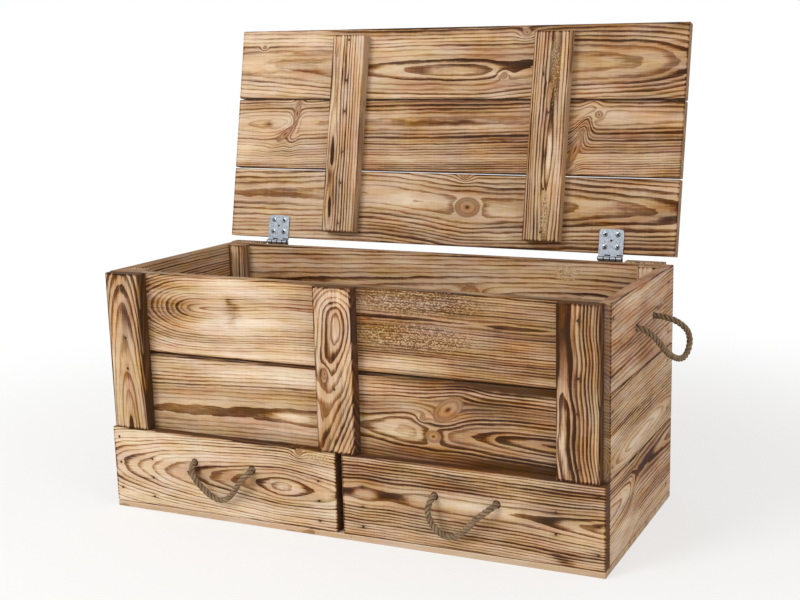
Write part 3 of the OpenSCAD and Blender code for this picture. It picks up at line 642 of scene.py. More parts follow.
def burnt(tree, place, x, grain):
    """How far the flame went, from 0 to 1: clouds, and spots where it lingered."""
    cloud = stretched_noise(tree, place, (150, 28, 28), grain.seed + 2, Detail=3.0, Roughness=0.55)
    heat = add(tree, MATH, (cloud, 0.9, along(tree, x, grain.burn)), operation="MULTIPLY_ADD")
    heat = add(tree, MATH, (heat, 0.45), operation="SUBTRACT")
    # The flame's spots have ragged outlines
    ragged = stretched_noise(tree, place, (26, 11, 11), grain.seed + 8, Detail=2.0)
    ragged = add(tree, VECTOR, (ragged.outputs["Color"], (30, 10, 0), (-15, -5, 0)), operation="MULTIPLY_ADD")
    ragged = add(tree, VECTOR, (ragged, place), operation="ADD")
    for sx, sy, length, width, amount in grain.scorches:
        heat = bell(tree, patch(tree, ragged, sx, sy, length, width), amount, heat)
    return heat


def burnt_and_shaded_edges(tree, place, half, streaks):
    """Shares from 0 to 1: the rim of the face, where the flame came from two sides, and the narrow sides. Their
    darkening is partly the flame's and partly painted shade at the seams and on the sides.
    """
    inward = add(tree, VECTOR, (place,), operation="ABSOLUTE")
    inward = add(tree, VECTOR, (tuple(half), inward), operation="SUBTRACT")
    gaps = add(tree, "ShaderNodeSeparateXYZ", (inward,))
    close = add(tree, MATH, (gaps.outputs["X"], gaps.outputs["Y"]), operation="MINIMUM")
    z = add(tree, "ShaderNodeSeparateXYZ", (place,)).outputs["Z"]
    # The rim is 2 to 4 mm wide, ragged along the grain
    ragged = add(tree, MATH, (streaks, 6.0), operation="MULTIPLY")
    rim = add(tree, RANGE, {"Value": close, "From Min": ragged, "From Max": 0.4})
    at_face = add(tree, RANGE, {"Value": z, "From Min": -2.5, "From Max": -0.4})
    rim = add(tree, MATH, (rim, at_face), operation="MULTIPLY")
    side = add(tree, RANGE, {"Value": close, "From Min": 0.5, "From Max": 0.1})
    below = add(tree, RANGE, {"Value": z, "From Min": -0.6, "From Max": -2.0})
    side = add(tree, MATH, (side, below), operation="MULTIPLY")
    return rim, side


def late_wood(tree, season, luck, mottled, bite):
    """How strongly the late wood shows, from 0 to 1. It starts early in the season where the flame was hot,
    and ends sharply with the year."""
    start = add(tree, RANGE, {"Value": mottled, "From Min": 0.05, "From Max": 0.85,
                              "To Min": 0.82, "To Max": 0.33})
    start = add(tree, MATH, (luck, -0.2, start), operation="MULTIPLY_ADD")
    full = add(tree, MATH, (start, 0.32), operation="ADD")
    late = add(tree, RANGE, {"Value": season, "From Min": start, "From Max": full})
    end = add(tree, RANGE, {"Value": season, "From Min": 1.0, "From Max": 0.95})
    late = add(tree, MATH, (late, end), operation="MULTIPLY")
    strength = add(tree, MATH, (mottled, 0.65 * bite, 0.55 * bite), operation="MULTIPLY_ADD", use_clamp=True)
    return add(tree, MATH, (late, strength), operation="MULTIPLY")


def with_knots(tree, place, grain, look, tint):
    """Draws the knots: rings round a dark pith, and a dark line where their bark was."""
    for kx, ky, length, width, turn in grain.knots:
        far = patch(tree, place, kx, ky, length, width, turn)
        inside = add(tree, RANGE, {"Value": far, "From Min": 1.1, "From Max": 0.95})
        wave = stretched_noise(tree, place, (7, 5, 5), grain.seed + 7, Detail=2.0)
        circles = add(tree, MATH, (far, 3.6, wave), operation="MULTIPLY_ADD")
        circles = add(tree, MATH, (circles, 1.0), operation="PINGPONG")
        circles = add(tree, MATH, (circles, 0.55), operation="MULTIPLY")
        pith = add(tree, RANGE, {"Value": far, "From Min": 0.28, "From Max": 0.12})
        bark = add(tree, RANGE, {"Value": far, "From Min": 0.72, "From Max": 1.0, "To Max": 0.7})
        for darker in (pith, bark):
            circles = add(tree, MATH, (circles, darker), operation="MAXIMUM")
        core = add(tree, MIX, {"Factor": circles, "A": look.knot, "B": look.umber}, data_type="RGBA")
        tint = add(tree, MIX, {"Factor": inside, "A": tint, "B": core.outputs["Result"]},
                   data_type="RGBA").outputs["Result"]
    return tint


def with_torn_patches(tree, place, grain, look, tint):
    """Draws the patches where the saw tore the wood: specks of pale fuzz and dark pits, 1.6 mm by 3 mm."""
    for tx, ty, length, width, dark in grain.torn:
        far = patch(tree, place, tx, ty, length, width)
        specks = stretched_noise(tree, place, (3.0, 1.6, 1.6), grain.seed + 5, Detail=2.0, Roughness=0.7)
        share = add(tree, RANGE, {"Value": far, "From Min": 1.2, "From Max": 0.7, "To Max": 0.85})
        haze = add(tree, MATH, (share, 0.4 * (1 - dark)), operation="MULTIPLY")
        tint = add(tree, MIX, {"Factor": haze, "A": tint, "B": look.torn}, data_type="RGBA").outputs["Result"]
        fuzz = add(tree, RANGE, {"Value": specks, "From Min": 0.5 + 0.08 * dark,
                                 "From Max": 0.58 + 0.08 * dark})
        pits = add(tree, RANGE, {"Value": specks, "From Min": 0.46 + 0.06 * dark,
                                 "From Max": 0.39 + 0.06 * dark})
        for spots, shade in ((fuzz, look.torn), (pits, look.umber if dark > 0.5 else look.brown)):
            spots = add(tree, MATH, (spots, share), operation="MULTIPLY")
            tint = add(tree, MIX, {"Factor": spots, "A": tint, "B": shade},
                       data_type="RGBA").outputs["Result"]
    return tint


# Tones run from 0, pale, to 1, char
EARLY_TONE = 0.62  # early wood where the flame was hot
EARLY_CHAR = 0.3  # how much darker it gets where the flame stayed longest
LATE_TONE = 0.47  # late wood that the flame hardly touched
LATE_GAIN = 0.6  # how much darker it gets under the flame
YEAR_TO_YEAR = 0.45  # how much the years' late wood differs
SIDE_TONE = 0.9  # narrow sides, charred by the flame and darkened with painted shade


def pine(name, node, directions, grain, look, nails=(), flamed=True):
    """Scots pine, sawn with its year rings showing and brushed, so that the late wood stands proud. Flaming
    browns the early wood in clouds and burns the late wood almost black, up to its sharp outer edge. The
    wood round the nails is drawn darker."""
    material, tree = new_material(name)
    middle, half = board_place(node, directions)
    seed = grain.seed
    raw = add(tree, "ShaderNodeTexCoord").outputs["Object"]
    place = add(tree, "ShaderNodeMapping", {
        "Vector": raw, "Location": tuple(-middle), "Rotation": Matrix(directions).to_euler("XYZ"),
        "Scale": (1 / MM,) * 3})
    x = add(tree, "ShaderNodeSeparateXYZ", (place,)).outputs["X"]
    rings = year_rings(tree, place, grain)
    season = add(tree, MATH, (rings,), operation="FRACT")
    year = add(tree, MATH, (rings,), operation="FLOOR")
    year = add(tree, MATH, (year, seed * 1.37), operation="ADD")
    luck = add(tree, "ShaderNodeTexWhiteNoise", {"W": year}, noise_dimensions="1D").outputs["Value"]

    heat = burnt(tree, place, x, grain) if flamed else 0.0
    # Some groups of years burn darker than others
    era = add(tree, MATH, (rings, 0.3, seed * 2.3), operation="MULTIPLY_ADD")
    era = add(tree, NOISE, {"W": era, "Scale": 1.0, "Detail": 1.0}, noise_dimensions="1D")
    heat = sway(tree, era, 0.45, heat)
    for nx, ny in nails_on(nails, middle, half, directions):
        heat = bell(tree, patch(tree, place, nx, ny, 7, 4), 0.2, heat)

    # Fibres, drawn much coarser than pine's so that they show, and darker streaks along them
    fibres = stretched_noise(tree, place, (24, 1.3, 1.3), seed + 3, Detail=2.0, Roughness=0.65)
    streaks = stretched_noise(tree, place, (90, 2.6, 2.6), seed + 4, Detail=2.0, Roughness=0.6)
    # Cross-grain marks of the saw
    marks = stretched_noise(tree, place, (2.2, 60, 60), seed + 6, Detail=1.0)
    mottled = heat
    for noise, amount in ((fibres, 0.48), (streaks, 0.38), (marks, 0.1)):
        mottled = sway(tree, noise, amount, mottled)
    rim, side = burnt_and_shaded_edges(tree, place, half, streaks)
    # The rim and narrow sides darken, partly as the flame left them and partly as painted shade at the seams
    # and on the sides
    if flamed:
        mottled = add(tree, MATH, (rim, grain.edge, mottled), operation="MULTIPLY_ADD")
        mottled = add(tree, MATH, (side, 0.6 * grain.sides, mottled), operation="MULTIPLY_ADD",
                      use_clamp=True)

    # The brush lays the early wood bare, and years differ in how dark their late wood burns
    early_tone = add(tree, MATH, (mottled, EARLY_TONE), operation="MULTIPLY")
    if flamed:
        # Where the flame stayed longest, the early wood chars too
        scorched = add(tree, RANGE, {"Value": heat, "From Min": 1.0, "From Max": 1.5, "To Max": EARLY_CHAR})
        early_tone = add(tree, MATH, (early_tone, scorched), operation="ADD")
    late_tone = add(tree, MATH, (mottled, LATE_GAIN, LATE_TONE), operation="MULTIPLY_ADD")
    late_tone = sway(tree, luck, YEAR_TO_YEAR, late_tone)
    late = late_wood(tree, season, luck, mottled, grain.bite)
    tone = add(tree, MIX, {"Factor": late, "A": early_tone, "B": late_tone}).outputs["Result"]
    # Sides charred by the flame and darkened with painted shade
    charred_and_shaded = add(tree, MATH, (side, 0.8 * grain.sides**2), operation="MULTIPLY")
    tone = add(tree, MIX, {"Factor": charred_and_shaded, "A": tone, "B": SIDE_TONE}).outputs["Result"]

    tint = shades(tree, tone, look.pale, look.straw, look.toast, look.brown, look.umber, look.char)
    tint = with_knots(tree, place, grain, look, tint)
    tint = with_torn_patches(tree, place, grain, look, tint)
    evenly = add(tree, MATH, (side, 0.55 * (1 - grain.sides)), operation="MULTIPLY")
    tint = add(tree, MIX, {"Factor": evenly, "A": tint, "B": look.side}, data_type="RGBA").outputs["Result"]
    # Redder and yellower, duller and warmer patches
    patches = stretched_noise(tree, place, (70, 18, 18), seed + 9, Detail=2.0).outputs["Color"]
    red, grey, _ = add(tree, "ShaderNodeSeparateColor", (patches,)).outputs
    hue = sway(tree, red, 0.05, grain.hue)
    dullness = add(tree, MATH, (grey, 0.7, 0.62), operation="MULTIPLY_ADD")
    tint = add(tree, "ShaderNodeHueSaturation", {"Hue": hue, "Saturation": dullness, "Color": tint})
    height = add(tree, MATH, (fibres, 0.3, late), operation="MULTIPLY_ADD")
    bump = add(tree, "ShaderNodeBump", {"Height": height, "Strength": 1.0, "Distance": look.relief})
    shader = add(tree, "ShaderNodeBsdfPrincipled", {"Base Color": tint, "Normal": bump})
    shader.inputs["Roughness"].default_value = look.roughness
    shader.inputs["Specular IOR Level"].default_value = 0.1
    add(tree, "ShaderNodeOutputMaterial", {"Surface": shader})
    return material


def paint(node, material):
    """Gives a carried-over solid its material."""
    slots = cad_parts[node].data.materials
    slots.clear()
    slots.append(material)


# ---- Metal ----


KNUCKLES = 4  # side by side on a leaf pair
BARREL = 3.8 * MM  # from the pin's axis to just outside the knuckles
NOTCH = 6.6 * MM  # from the pin's axis to the bottom of a leaf's notches


def knuckle_shade(tree, place, node, away, first):
    """Shade, from 0 to 1, in the gaps beside a leaf's knuckles and in its notches for the other leaf's, both
    drawn wider than they are so that they show. The leaf lies in the direction away from the pin."""
    points = np.array([v.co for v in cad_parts[node].data.vertices])
    pins = np.array([v.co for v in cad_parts["hinge_pins"].data.vertices])
    start = (pins.min(0) + pins.max(0)) / 2
    start[0] = points[:, 0].min()
    width = (points[:, 0].max() - start[0]) / KNUCKLES
    off = add(tree, VECTOR, (place, tuple(start)), operation="SUBTRACT")
    x = add(tree, "ShaderNodeSeparateXYZ", (off,)).outputs["X"]
    count = add(tree, MATH, (x, 1 / width), operation="MULTIPLY")
    # The gaps: near a whole count, close to the pin
    far = add(tree, MATH, (count, 0.5), operation="PINGPONG")
    gap = add(tree, RANGE, {"Value": far, "From Min": 0.1, "From Max": 0.06})
    across = add(tree, VECTOR, (off, (0, 1, 1)), operation="MULTIPLY")
    from_pin = add(tree, VECTOR, (across,), operation="LENGTH").outputs["Value"]
    barrel = add(tree, MATH, (from_pin, BARREL), operation="LESS_THAN")
    gap = add(tree, MATH, (gap, barrel), operation="MULTIPLY")
    # The notches: at every other knuckle
    height = add(tree, VECTOR, (off, away), operation="DOT_PRODUCT").outputs["Value"]
    notch = add(tree, RANGE, {"Value": height, "From Min": NOTCH, "From Max": NOTCH - 0.6 * MM})
    pair = add(tree, MATH, (count, 0.5, 0.5 * first), operation="MULTIPLY_ADD")
    pair = add(tree, MATH, (pair,), operation="FRACT")
    other = add(tree, MATH, (pair, 0.5), operation="GREATER_THAN")
    notch = add(tree, MATH, (notch, other), operation="MULTIPLY")
    return add(tree, MATH, (gap, notch), operation="MAXIMUM")


def metal(name, tone, roughness, mottle, relief, leaf=None):
    """Steel, bare or zinc-plated: grey metal with soft mottling and small dents. For a hinge's leaf, leaf
    holds its node, the direction it lies in and the number of its first knuckle."""
    material, tree = new_material(name)
    place = add(tree, "ShaderNodeTexCoord").outputs["Object"]
    # Spangle and scuffs 3 to 4 mm across, over finer ones
    spots = add(tree, NOISE, {"Vector": place, "Scale": 300.0, "Detail": 3.0, "Roughness": 0.65})
    darker = tuple(c * (1 - mottle) for c in tone[:3]) + (1,)
    spread = add(tree, RANGE, {"Value": spots, "From Min": 0.35, "From Max": 0.62})
    tint = add(tree, MIX, {"Factor": spread, "A": darker, "B": tone}, data_type="RGBA")
    # Painted shade, near black, in a screw's recess and between knuckles
    if leaf:
        hollow = knuckle_shade(tree, place, *leaf)
    else:
        hollow = add(tree, "ShaderNodeAttribute", attribute_name="hollow").outputs["Fac"]
    tint = add(tree, MIX, {"Factor": hollow, "A": tint.outputs["Result"], "B": (0.01, 0.01, 0.012, 1)},
               data_type="RGBA")
    rough = add(tree, RANGE, {"Value": spots, "From Min": 0.3, "From Max": 0.7,
                              "To Min": roughness - 0.1, "To Max": roughness + 0.12})
    bump = add(tree, "ShaderNodeBump", {"Height": spots, "Strength": 0.5, "Distance": relief})
    shader = add(tree, "ShaderNodeBsdfPrincipled", {
        "Base Color": tint.outputs["Result"], "Roughness": rough, "Normal": bump})
    shader.inputs["Metallic"].default_value = 1.0
    add(tree, "ShaderNodeOutputMaterial", {"Surface": shader})
    return material


def fastener_places(node):
    """Head and outward direction of every nail or screw in a solid that holds several."""
    bm = bmesh.new()
    bm.from_mesh(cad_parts[node].data)
    bmesh.ops.remove_doubles(bm, verts=bm.verts, dist=0.01 * MM)
    places, seen = [], set()
    for first in bm.verts:
        if first in seen:
            continue
        island, queue = [], [first]
        seen.add(first)
        while queue:
            vertex = queue.pop()
            island.append(vertex.co.copy())
            for edge in vertex.link_edges:
                other = edge.other_vert(vertex)
                if other not in seen:
                    seen.add(other)
                    queue.append(other)
        # The axis is the longest way through the fastener, and its widest point is on the head
        points = np.array(island)
        centre = points.mean(0)
        axis = Vector(np.linalg.svd(points - centre, full_matrices=False)[2][0])
        heights = np.array([axis.dot(Vector(p - centre)) for p in points])
        off = np.array([(Vector(p - centre) - axis * h).length for p, h in zip(points, heights)])
        if heights[off.argmax()] < 0:
            axis, heights = -axis, -heights
        top = Vector(points[heights > heights.max() - 0.01 * MM].mean(0))
        places.append((top, axis))
    bm.free()
    return places


def heads_tree(name, sizes, build_head):
    """A tree that sets a head on every point, square to the point's outward direction and spun at random."""
    tree = bpy.data.node_groups.new(name, "GeometryNodeTree")
    face = tree.interface
    face.new_socket("Places", in_out="INPUT", socket_type="NodeSocketGeometry")
    for label, value in sizes.items():
        socket = face.new_socket(label, in_out="INPUT", socket_type="NodeSocketFloat")
        socket.default_value = value
        socket.subtype = "DISTANCE"
    face.new_socket("Material", in_out="INPUT", socket_type="NodeSocketMaterial")
    face.new_socket("Heads", in_out="OUTPUT", socket_type="NodeSocketGeometry")
    given = add(tree, "NodeGroupInput")
    head = build_head(tree, given)
    outward = add(tree, "GeometryNodeInputNamedAttribute", {"Name": "outward"}, data_type="FLOAT_VECTOR")
    spin = add(tree, "FunctionNodeRandomValue", {"Seed": 7}, data_type="FLOAT")
    spin.inputs[2].default_value = 0.0
    spin.inputs[3].default_value = math.tau
    turned = add(tree, "FunctionNodeAxisAngleToRotation", {"Axis": (0, 0, 1), "Angle": spin.outputs[1]})
    upright = add(tree, "FunctionNodeAlignRotationToVector", {"Rotation": turned, "Vector": outward},
                  axis="Z")
    heads = add(tree, "GeometryNodeInstanceOnPoints", {
        "Points": given.outputs["Places"], "Instance": head, "Rotation": upright})
    real = add(tree, "GeometryNodeRealizeInstances", (heads,))
    dressed = add(tree, "GeometryNodeSetMaterial", {"Geometry": real, "Material": given.outputs["Material"]})
    add(tree, "NodeGroupOutput", {"Heads": dressed})
    return tree


NAIL_DEPTH = 8 * MM  # of the part of a nail's shank that is drawn, in the wood
CONE_DEPTH = 1.9 * MM  # of a screw's countersunk head
CONE_TIP = 1.6 * MM  # its smaller radius
SLOT_WIDTH = 1.8 * MM  # of the cross recess
SLOT_DEPTH = 1.4 * MM


def crown(tree, given, segments, rings):
    """The low, round crown of a head."""
    ball = add(tree, "GeometryNodeMeshUVSphere", {"Segments": segments, "Rings": rings, "Radius": 0.5})
    flat = add(tree, "ShaderNodeCombineXYZ", {
        "X": given.outputs["Head"], "Y": given.outputs["Head"],
        "Z": add(tree, MATH, (given.outputs["Crown"], 2.0), operation="MULTIPLY")})
    return add(tree, "GeometryNodeTransform", {"Geometry": ball, "Scale": flat})


def nail_head(tree, given):
    """A low crown on a short shank."""
    radius = add(tree, MATH, (given.outputs["Shank"], 0.5), operation="MULTIPLY")
    shank = add(tree, "GeometryNodeMeshCylinder", {"Vertices": 10, "Radius": radius, "Depth": NAIL_DEPTH})
    shank = add(tree, "GeometryNodeTransform", {"Geometry": shank, "Translation": (0, 0, -NAIL_DEPTH / 2)})
    both = add(tree, "GeometryNodeJoinGeometry")
    for part in (crown(tree, given, 16, 8), shank):
        tree.links.new(part.outputs[0], both.inputs[0])
    return both


def screw_head(tree, given):
    """A raised countersunk head with a cross recess."""
    radius = add(tree, MATH, (given.outputs["Head"], 0.5), operation="MULTIPLY")
    cone = add(tree, "GeometryNodeMeshCone", {
        "Vertices": 24, "Radius Top": radius, "Radius Bottom": CONE_TIP, "Depth": CONE_DEPTH})
    cone = add(tree, "GeometryNodeTransform", {"Geometry": cone, "Translation": (0, 0, -CONE_DEPTH)})
    solid = add(tree, "GeometryNodeMeshBoolean", operation="UNION")
    for part in (crown(tree, given, 24, 10), cone):
        tree.links.new(part.outputs[0], solid.inputs["Mesh 2"])
    cut = add(tree, "GeometryNodeMeshBoolean", operation="DIFFERENCE")
    tree.links.new(solid.outputs[0], cut.inputs["Mesh 1"])
    arm = given.outputs["Cross"]
    for length, width in ((arm, SLOT_WIDTH), (SLOT_WIDTH, arm)):
        box = add(tree, "ShaderNodeCombineXYZ", {"X": length, "Y": width, "Z": 2 * SLOT_DEPTH})
        slot = add(tree, "GeometryNodeMeshCube", {"Size": box})
        tree.links.new(slot.outputs[0], cut.inputs["Mesh 2"])
    # The faces of the recess lie lower than this, and those of the crown higher; the recess is marked for
    # painted shade
    height = add(tree, "ShaderNodeSeparateXYZ", (add(tree, "GeometryNodeInputPosition"),)).outputs["Z"]
    inside = add(tree, MATH, (height, 0.1 * MM), operation="LESS_THAN")
    return add(tree, "GeometryNodeStoreNamedAttribute", {
        "Geometry": cut, "Name": "hollow", "Value": inside}, data_type="FLOAT", domain="FACE")


def set_heads(name, nodes, tree, sizes, material, body, sink=0.0):
    """Bakes a tree of heads on the places of the given solids into one plain mesh, which replaces them."""
    places = [place for node in nodes for place in fastener_places(node)]
    mesh = bpy.data.meshes.new(name)
    mesh.from_pydata([top - axis * sink for top, axis in places], [], [])
    outward = mesh.attributes.new("outward", "FLOAT_VECTOR", "POINT")
    outward.data.foreach_set("vector", [c for _, axis in places for c in axis])
    piece = new_object(name, mesh)
    modifier = piece.modifiers.new("heads", "NODES")
    modifier.node_group = tree
    for item in tree.interface.items_tree:
        if item.in_out == "INPUT" and item.name in sizes:
            modifier[item.identifier] = sizes[item.name]
        elif item.in_out == "INPUT" and item.name == "Material":
            modifier[item.identifier] = material
    depsgraph = bpy.context.evaluated_depsgraph_get()
    baked = bpy.data.meshes.new_from_object(piece.evaluated_get(depsgraph))
    piece.modifiers.clear()
    piece.data = baked
    baked.name = name
    if not baked.polygons:
        raise RuntimeError(f"{name} has no heads")
    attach(piece, body)
    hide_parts(*nodes)
    return piece


NAILS = {body: f"{body}_nails" for body in ("chest", "lid", "drawer_left", "drawer_right")}


# ---- Operators ----


@dataclass
class Handle:
    """A rope handle: its body, the board that it goes through, its route and its directions."""

    name: str
    body: str
    board: str
    route: list
    along: tuple
    out: tuple
    seed: int

    def point(self, a, o, h):
        """A point in the object's frame, from millimetres along the board, out of its face and up."""
        along, out = Vector(self.along), Vector(self.out)
        low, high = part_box(self.name + "_knots")
        middle = (low + high) / 2
        board_low, board_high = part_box(self.board)
        face = max(board_low.dot(out), board_high.dot(out))
        start = middle + (face - middle.dot(out)) * out
        return start + MM * (a * along + o * out + h * Vector((0, 0, 1)))


HANDLES = [
    Handle("drawer_left", "drawer_left", "drawer_left_front", LEFT_ROPE, (1, 0, 0), (0, -1, 0), 1),
    Handle("drawer_right", "drawer_right", "drawer_right_front", RIGHT_ROPE, (1, 0, 0), (0, -1, 0), 2),
    Handle("side_left", "chest", "side_left_board_3", SIDE_ROPE, (0, 1, 0), (-1, 0, 0), 3),
    Handle("side_right", "chest", "side_right_board_3", SIDE_ROPE, (0, 1, 0), (1, 0, 0), 4),
]
# Stopper knots: depths from the board's inner face, in millimetres
KNOT_TURNS = 2.6
KNOT_FIRST = 5  # middle of the first turn
KNOT_LAST = 23  # middle of the last turn
KNOT_TAIL = 36  # end of the rope
KNOT_POINTS = 48  # round all the turns
FRAY = 9  # length of the rope's end that opens
FRAYED_STEPS = 8  # of the rope's end that have loose fibres
BURIED_STEPS = 12  # of each end of a handle that lie in the board and have none


def wound_coil(handle, end, rope):
    """The line of a stopper knot's turns, wound round the rope's straight end."""
    a, o, h = end
    points = []
    for k in range(KNOT_POINTS + 1):
        share = k / KNOT_POINTS
        turn = math.tau * KNOT_TURNS * share
        # The first and last eighths of the coil tuck in towards the straight end
        tuck = min(1.0, 8 * share, 8 * (1 - share))
        reach = rope.diameter / MM * (0.55 + 0.45 * tuck)
        depth = KNOT_FIRST + (KNOT_LAST - KNOT_FIRST) * share
        points.append(handle.point(a + reach * math.cos(turn), o - depth, h + reach * math.sin(turn)))
    return smooth_line(points, rope.step * 1.5)


class KINDLING_OT_ropes(bpy.types.Operator):
    """Lay the four rope handles along their routes"""

    bl_idname = "kindling.ropes"
    bl_label = "Rope handles"

    def execute(self, context):
        rope = context.scene.kindling_rope
        material = bpy.data.materials.get("jute_rope") or jute(rope)
        for handle in HANDLES:
            line = smooth_line([handle.point(*p) for p in handle.route], rope.step)

            def build(bm, uv, line=line, seed=handle.seed):
                add_laid_rope(bm, uv, line, rope)
                add_hairs(bm, uv, line[BURIED_STEPS:-BURIED_STEPS], rope, seed)

            piece = mesh_piece(f"{handle.name}_laid_rope", build, material, handle.body)
            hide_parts(f"{handle.name}_rope")
            hole = handle.point(handle.route[0][0], 0, 0)
        return {"FINISHED"}


class KINDLING_OT_knots(bpy.types.Operator):
    """Wind the stopper knots behind the boards"""

    bl_idname = "kindling.knots"
    bl_label = "Stopper knots"

    def execute(self, context):
        rope = context.scene.kindling_rope
        material = bpy.data.materials.get("jute_rope") or jute(rope)
        for handle in HANDLES:
            ends = [handle.route[0], handle.route[-1]]

            def build(bm, uv, handle=handle, ends=ends):
                for a, o, h in ends:
                    points = [handle.point(a, o - KNOT_TAIL * k / 3, h) for k in range(4)]
                    straight = smooth_line(points, rope.step)
                    add_laid_rope(bm, uv, straight, rope, fray=FRAY * MM)
                    add_hairs(bm, uv, straight[-FRAYED_STEPS:], rope, handle.seed + 10)
                    add_laid_rope(bm, uv, wound_coil(handle, (a, o, h), rope), rope)

            piece = mesh_piece(f"{handle.name}_wound_knots", build, material, handle.body)
            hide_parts(f"{handle.name}_knots")
        return {"FINISHED"}


class KINDLING_OT_boards(bpy.types.Operator):
    """Give every flamed board its own grain"""

    bl_idname = "kindling.boards"
    bl_label = "Flamed boards"

    def execute(self, context):
        look = context.scene.kindling_pine
        nails = [top for node in NAILS.values() for top, _ in fastener_places(node)]
        for node, (directions, grain) in FLAMED.items():
            paint(node, pine(f"flamed_pine_{node}", node, directions, grain, look, nails))
        return {"FINISHED"}


class KINDLING_OT_plain_boards(bpy.types.Operator):
    """Give the boards inside the drawer bay and the drawers their plain pine"""

    bl_idname = "kindling.plain_boards"
    bl_label = "Plain boards"

    def execute(self, context):
        look = context.scene.kindling_pine
        for node, (directions, grain) in PLAIN.items():
            paint(node, pine(f"sawn_pine_{node}", node, directions, grain, look, flamed=False))
        return {"FINISHED"}


class KINDLING_OT_nails(bpy.types.Operator):
    """Drive the nails"""

    bl_idname = "kindling.nails"
    bl_label = "Nails"

    def execute(self, context):
        look = context.scene.kindling_metal
        steel = metal("nail_steel", look.steel, 0.55, 0.5, 0.2 * MM)
        sizes = {"Head": look.nail_head, "Crown": look.nail_proud, "Shank": look.nail_shank}
        tree = heads_tree("nail_heads", sizes, nail_head)
        for body, node in NAILS.items():
            piece = set_heads(f"{body}_nail_heads", [node], tree, sizes, steel, body, sink=0.4 * MM)
        return {"FINISHED"}


class KINDLING_OT_hinges(bpy.types.Operator):
    """Plate the hinges and set their screws"""

    bl_idname = "kindling.hinges"
    bl_label = "Hinges"

    def execute(self, context):
        look = context.scene.kindling_metal
        bright = metal("zinc_plated_screw", look.zinc, 0.28, 0.5, 0.05 * MM)
        for side in ("left", "right"):
            for body, away, first in (("box", (0, 0, -1), 1), ("lid", UP_LID, 0)):
                node = f"hinge_{side}_{body}_leaf"
                paint(node, metal(f"zinc_plated_{node}", look.zinc, 0.4, 0.45, 0.1 * MM, (node, away, first)))
        paint("hinge_pins", bright)
        sizes = {"Head": look.screw_head, "Crown": look.screw_crown, "Cross": look.cross}
        tree = heads_tree("screw_heads", sizes, screw_head)
        for body, node in (("chest", "hinge_box_screws"), ("lid", "hinge_lid_screws")):
            piece = set_heads(f"{body}_screw_heads", [node], tree, sizes, bright, body)
        return {"FINISHED"}


class KINDLING_OT_camera(bpy.types.Operator):
    """Set up the camera"""

    bl_idname = "kindling.camera"
    bl_label = "Camera"

    def execute(self, context):
        studio = context.scene.kindling_studio
        data = bpy.data.cameras.new("Camera")
        data.sensor_width = 36
        data.lens = studio.lens
        data.shift_x, data.shift_y = studio.shift
        camera = new_object("Camera", data)
        level = Matrix.Rotation(studio.heading, 4, "Z") @ Matrix.Rotation(math.pi / 2 - studio.dip, 4, "X")
        camera.matrix_world = Matrix.Translation(studio.eye) @ level @ Matrix.Rotation(studio.roll, 4, "Z")
        context.scene.camera = camera
        return {"FINISHED"}


FLOOR_HALF = 8.0  # half the floor's width
SHADOW_NEAR = 0.6  # from the middle of the box: the floor keeps most of its shadow up to there
SHADOW_FAR = 1.5  # and is white from here on
LAMP_WIDTH = 1.6
LAMPS = {  # place, and the point each is aimed at
    "key": ((-1.3, -2.5, 2.1), (0, 0, 0.3)),
    "fill": ((2.6, -1.4, 1.5), (0.2, 0, 0.3)),
}


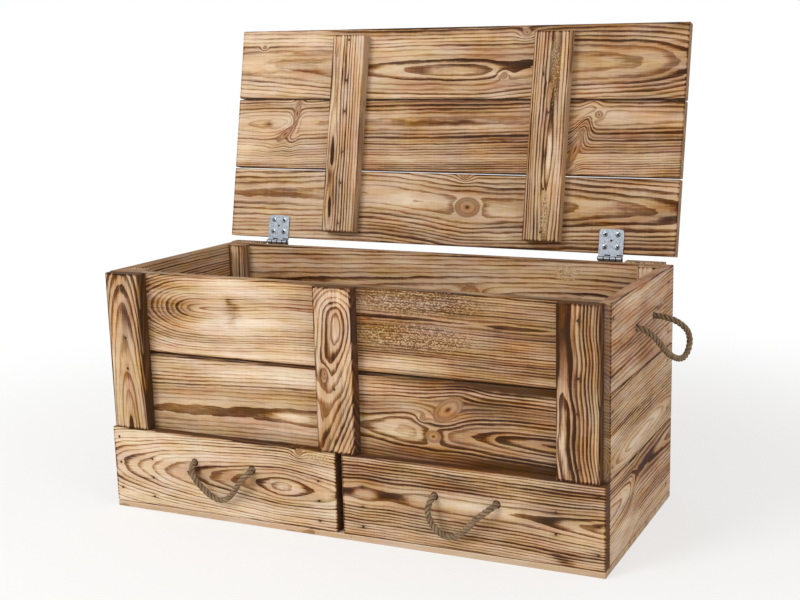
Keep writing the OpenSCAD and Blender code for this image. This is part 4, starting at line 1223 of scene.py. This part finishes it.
class KINDLING_OT_stage(bpy.types.Operator):
    """Lay the floor and hang the lamps"""

    bl_idname = "kindling.stage"
    bl_label = "Studio"

    def execute(self, context):
        studio = context.scene.kindling_studio
        self.lay_floor(studio)
        self.light(context, studio)
        context.scene.view_settings.view_transform = "Standard"
        return {"FINISHED"}

    def lay_floor(self, studio):
        """A pale floor, seen almost white, that keeps a soft shadow near the box and is white further out."""
        material, tree = new_material("studio_floor")
        place = add(tree, "ShaderNodeTexCoord").outputs["Object"]
        far = add(tree, VECTOR, (place,), operation="LENGTH").outputs["Value"]
        fade = add(tree, RANGE, {"Value": far, "From Min": SHADOW_NEAR, "From Max": SHADOW_FAR,
                                 "To Min": 0.6}, interpolation_type="SMOOTHSTEP")
        share = add(tree, MATH, (fade, seen_directly(tree)), operation="MULTIPLY")
        coat = add(tree, "ShaderNodeBsdfDiffuse", {"Color": studio.floor})
        white = add(tree, "ShaderNodeEmission", {"Color": (1, 1, 1, 1), "Strength": 1.0})
        mixed = add(tree, "ShaderNodeMixShader", (share, coat, white))
        add(tree, "ShaderNodeOutputMaterial", {"Surface": mixed})
        mesh = bpy.data.meshes.new("floor")
        square = [(x * FLOOR_HALF, y * FLOOR_HALF, 0) for x, y in ((-1, -1), (1, -1), (1, 1), (-1, 1))]
        mesh.from_pydata(square, [], [(0, 1, 2, 3)])
        mesh.materials.append(material)
        new_object("floor", mesh)

    def light(self, context, studio):
        """White where it is seen, and an even soft light elsewhere, with two large lamps."""
        world = bpy.data.worlds.new("studio")
        context.scene.world = world
        world.use_nodes = True
        tree = world.node_tree
        tree.nodes.clear()
        soft = add(tree, "ShaderNodeBackground", {"Color": (1, 1, 1, 1), "Strength": studio.sky})
        white = add(tree, "ShaderNodeBackground", {"Color": (1, 1, 1, 1), "Strength": 1.0})
        mixed = add(tree, "ShaderNodeMixShader", (seen_directly(tree), soft, white))
        add(tree, "ShaderNodeOutputWorld", {"Surface": mixed})
        for name, (place, aim) in LAMPS.items():
            data = bpy.data.lights.new(name, "AREA")
            data.shape = "DISK"
            data.size = LAMP_WIDTH
            data.energy = getattr(studio, name)
            lamp = new_object(name, data)
            lamp.location = place
            lamp.rotation_euler = (Vector(aim) - Vector(place)).to_track_quat("-Z", "Y").to_euler()


STEPS = (
    KINDLING_OT_camera, KINDLING_OT_ropes, KINDLING_OT_knots, KINDLING_OT_boards, KINDLING_OT_plain_boards,
    KINDLING_OT_nails, KINDLING_OT_hinges, KINDLING_OT_stage,
)
SETTINGS = {
    "kindling_pine": PineSettings,
    "kindling_rope": RopeSettings,
    "kindling_metal": MetalSettings,
    "kindling_studio": StudioSettings,
}


class KINDLING_PT_panel(bpy.types.Panel):
    """The steps that dress the box, and their settings"""

    bl_idname = "KINDLING_PT_panel"
    bl_label = "Kindling Box"
    bl_space_type = "VIEW_3D"
    bl_region_type = "UI"
    bl_category = "Kindling Box"

    def draw(self, context):
        for step in STEPS:
            self.layout.operator(step.bl_idname)
        for name, group in SETTINGS.items():
            box = self.layout.box()
            for setting in group.__annotations__:
                box.prop(getattr(context.scene, name), setting)


def register():
    """Adds the settings, the steps and the panel to Blender."""
    for cls in (*SETTINGS.values(), *STEPS, KINDLING_PT_panel):
        bpy.utils.register_class(cls)
    for name, group in SETTINGS.items():
        setattr(bpy.types.Scene, name, PointerProperty(type=group))


def unregister():
    """Takes them out again."""
    for name in SETTINGS:
        delattr(bpy.types.Scene, name)
    for cls in reversed((*SETTINGS.values(), *STEPS, KINDLING_PT_panel)):
        bpy.utils.unregister_class(cls)


def corners(box):
    return [list(corner) for corner in box]


def main():
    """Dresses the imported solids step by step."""
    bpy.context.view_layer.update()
    register()
    bpy.ops.kindling.camera()
    bpy.ops.kindling.ropes()
    bpy.ops.kindling.knots()
    bpy.ops.kindling.boards()
    bpy.ops.kindling.plain_boards()
    bpy.ops.kindling.nails()
    bpy.ops.kindling.hinges()
    bpy.ops.kindling.stage()


if __name__ == "__main__":
    main()
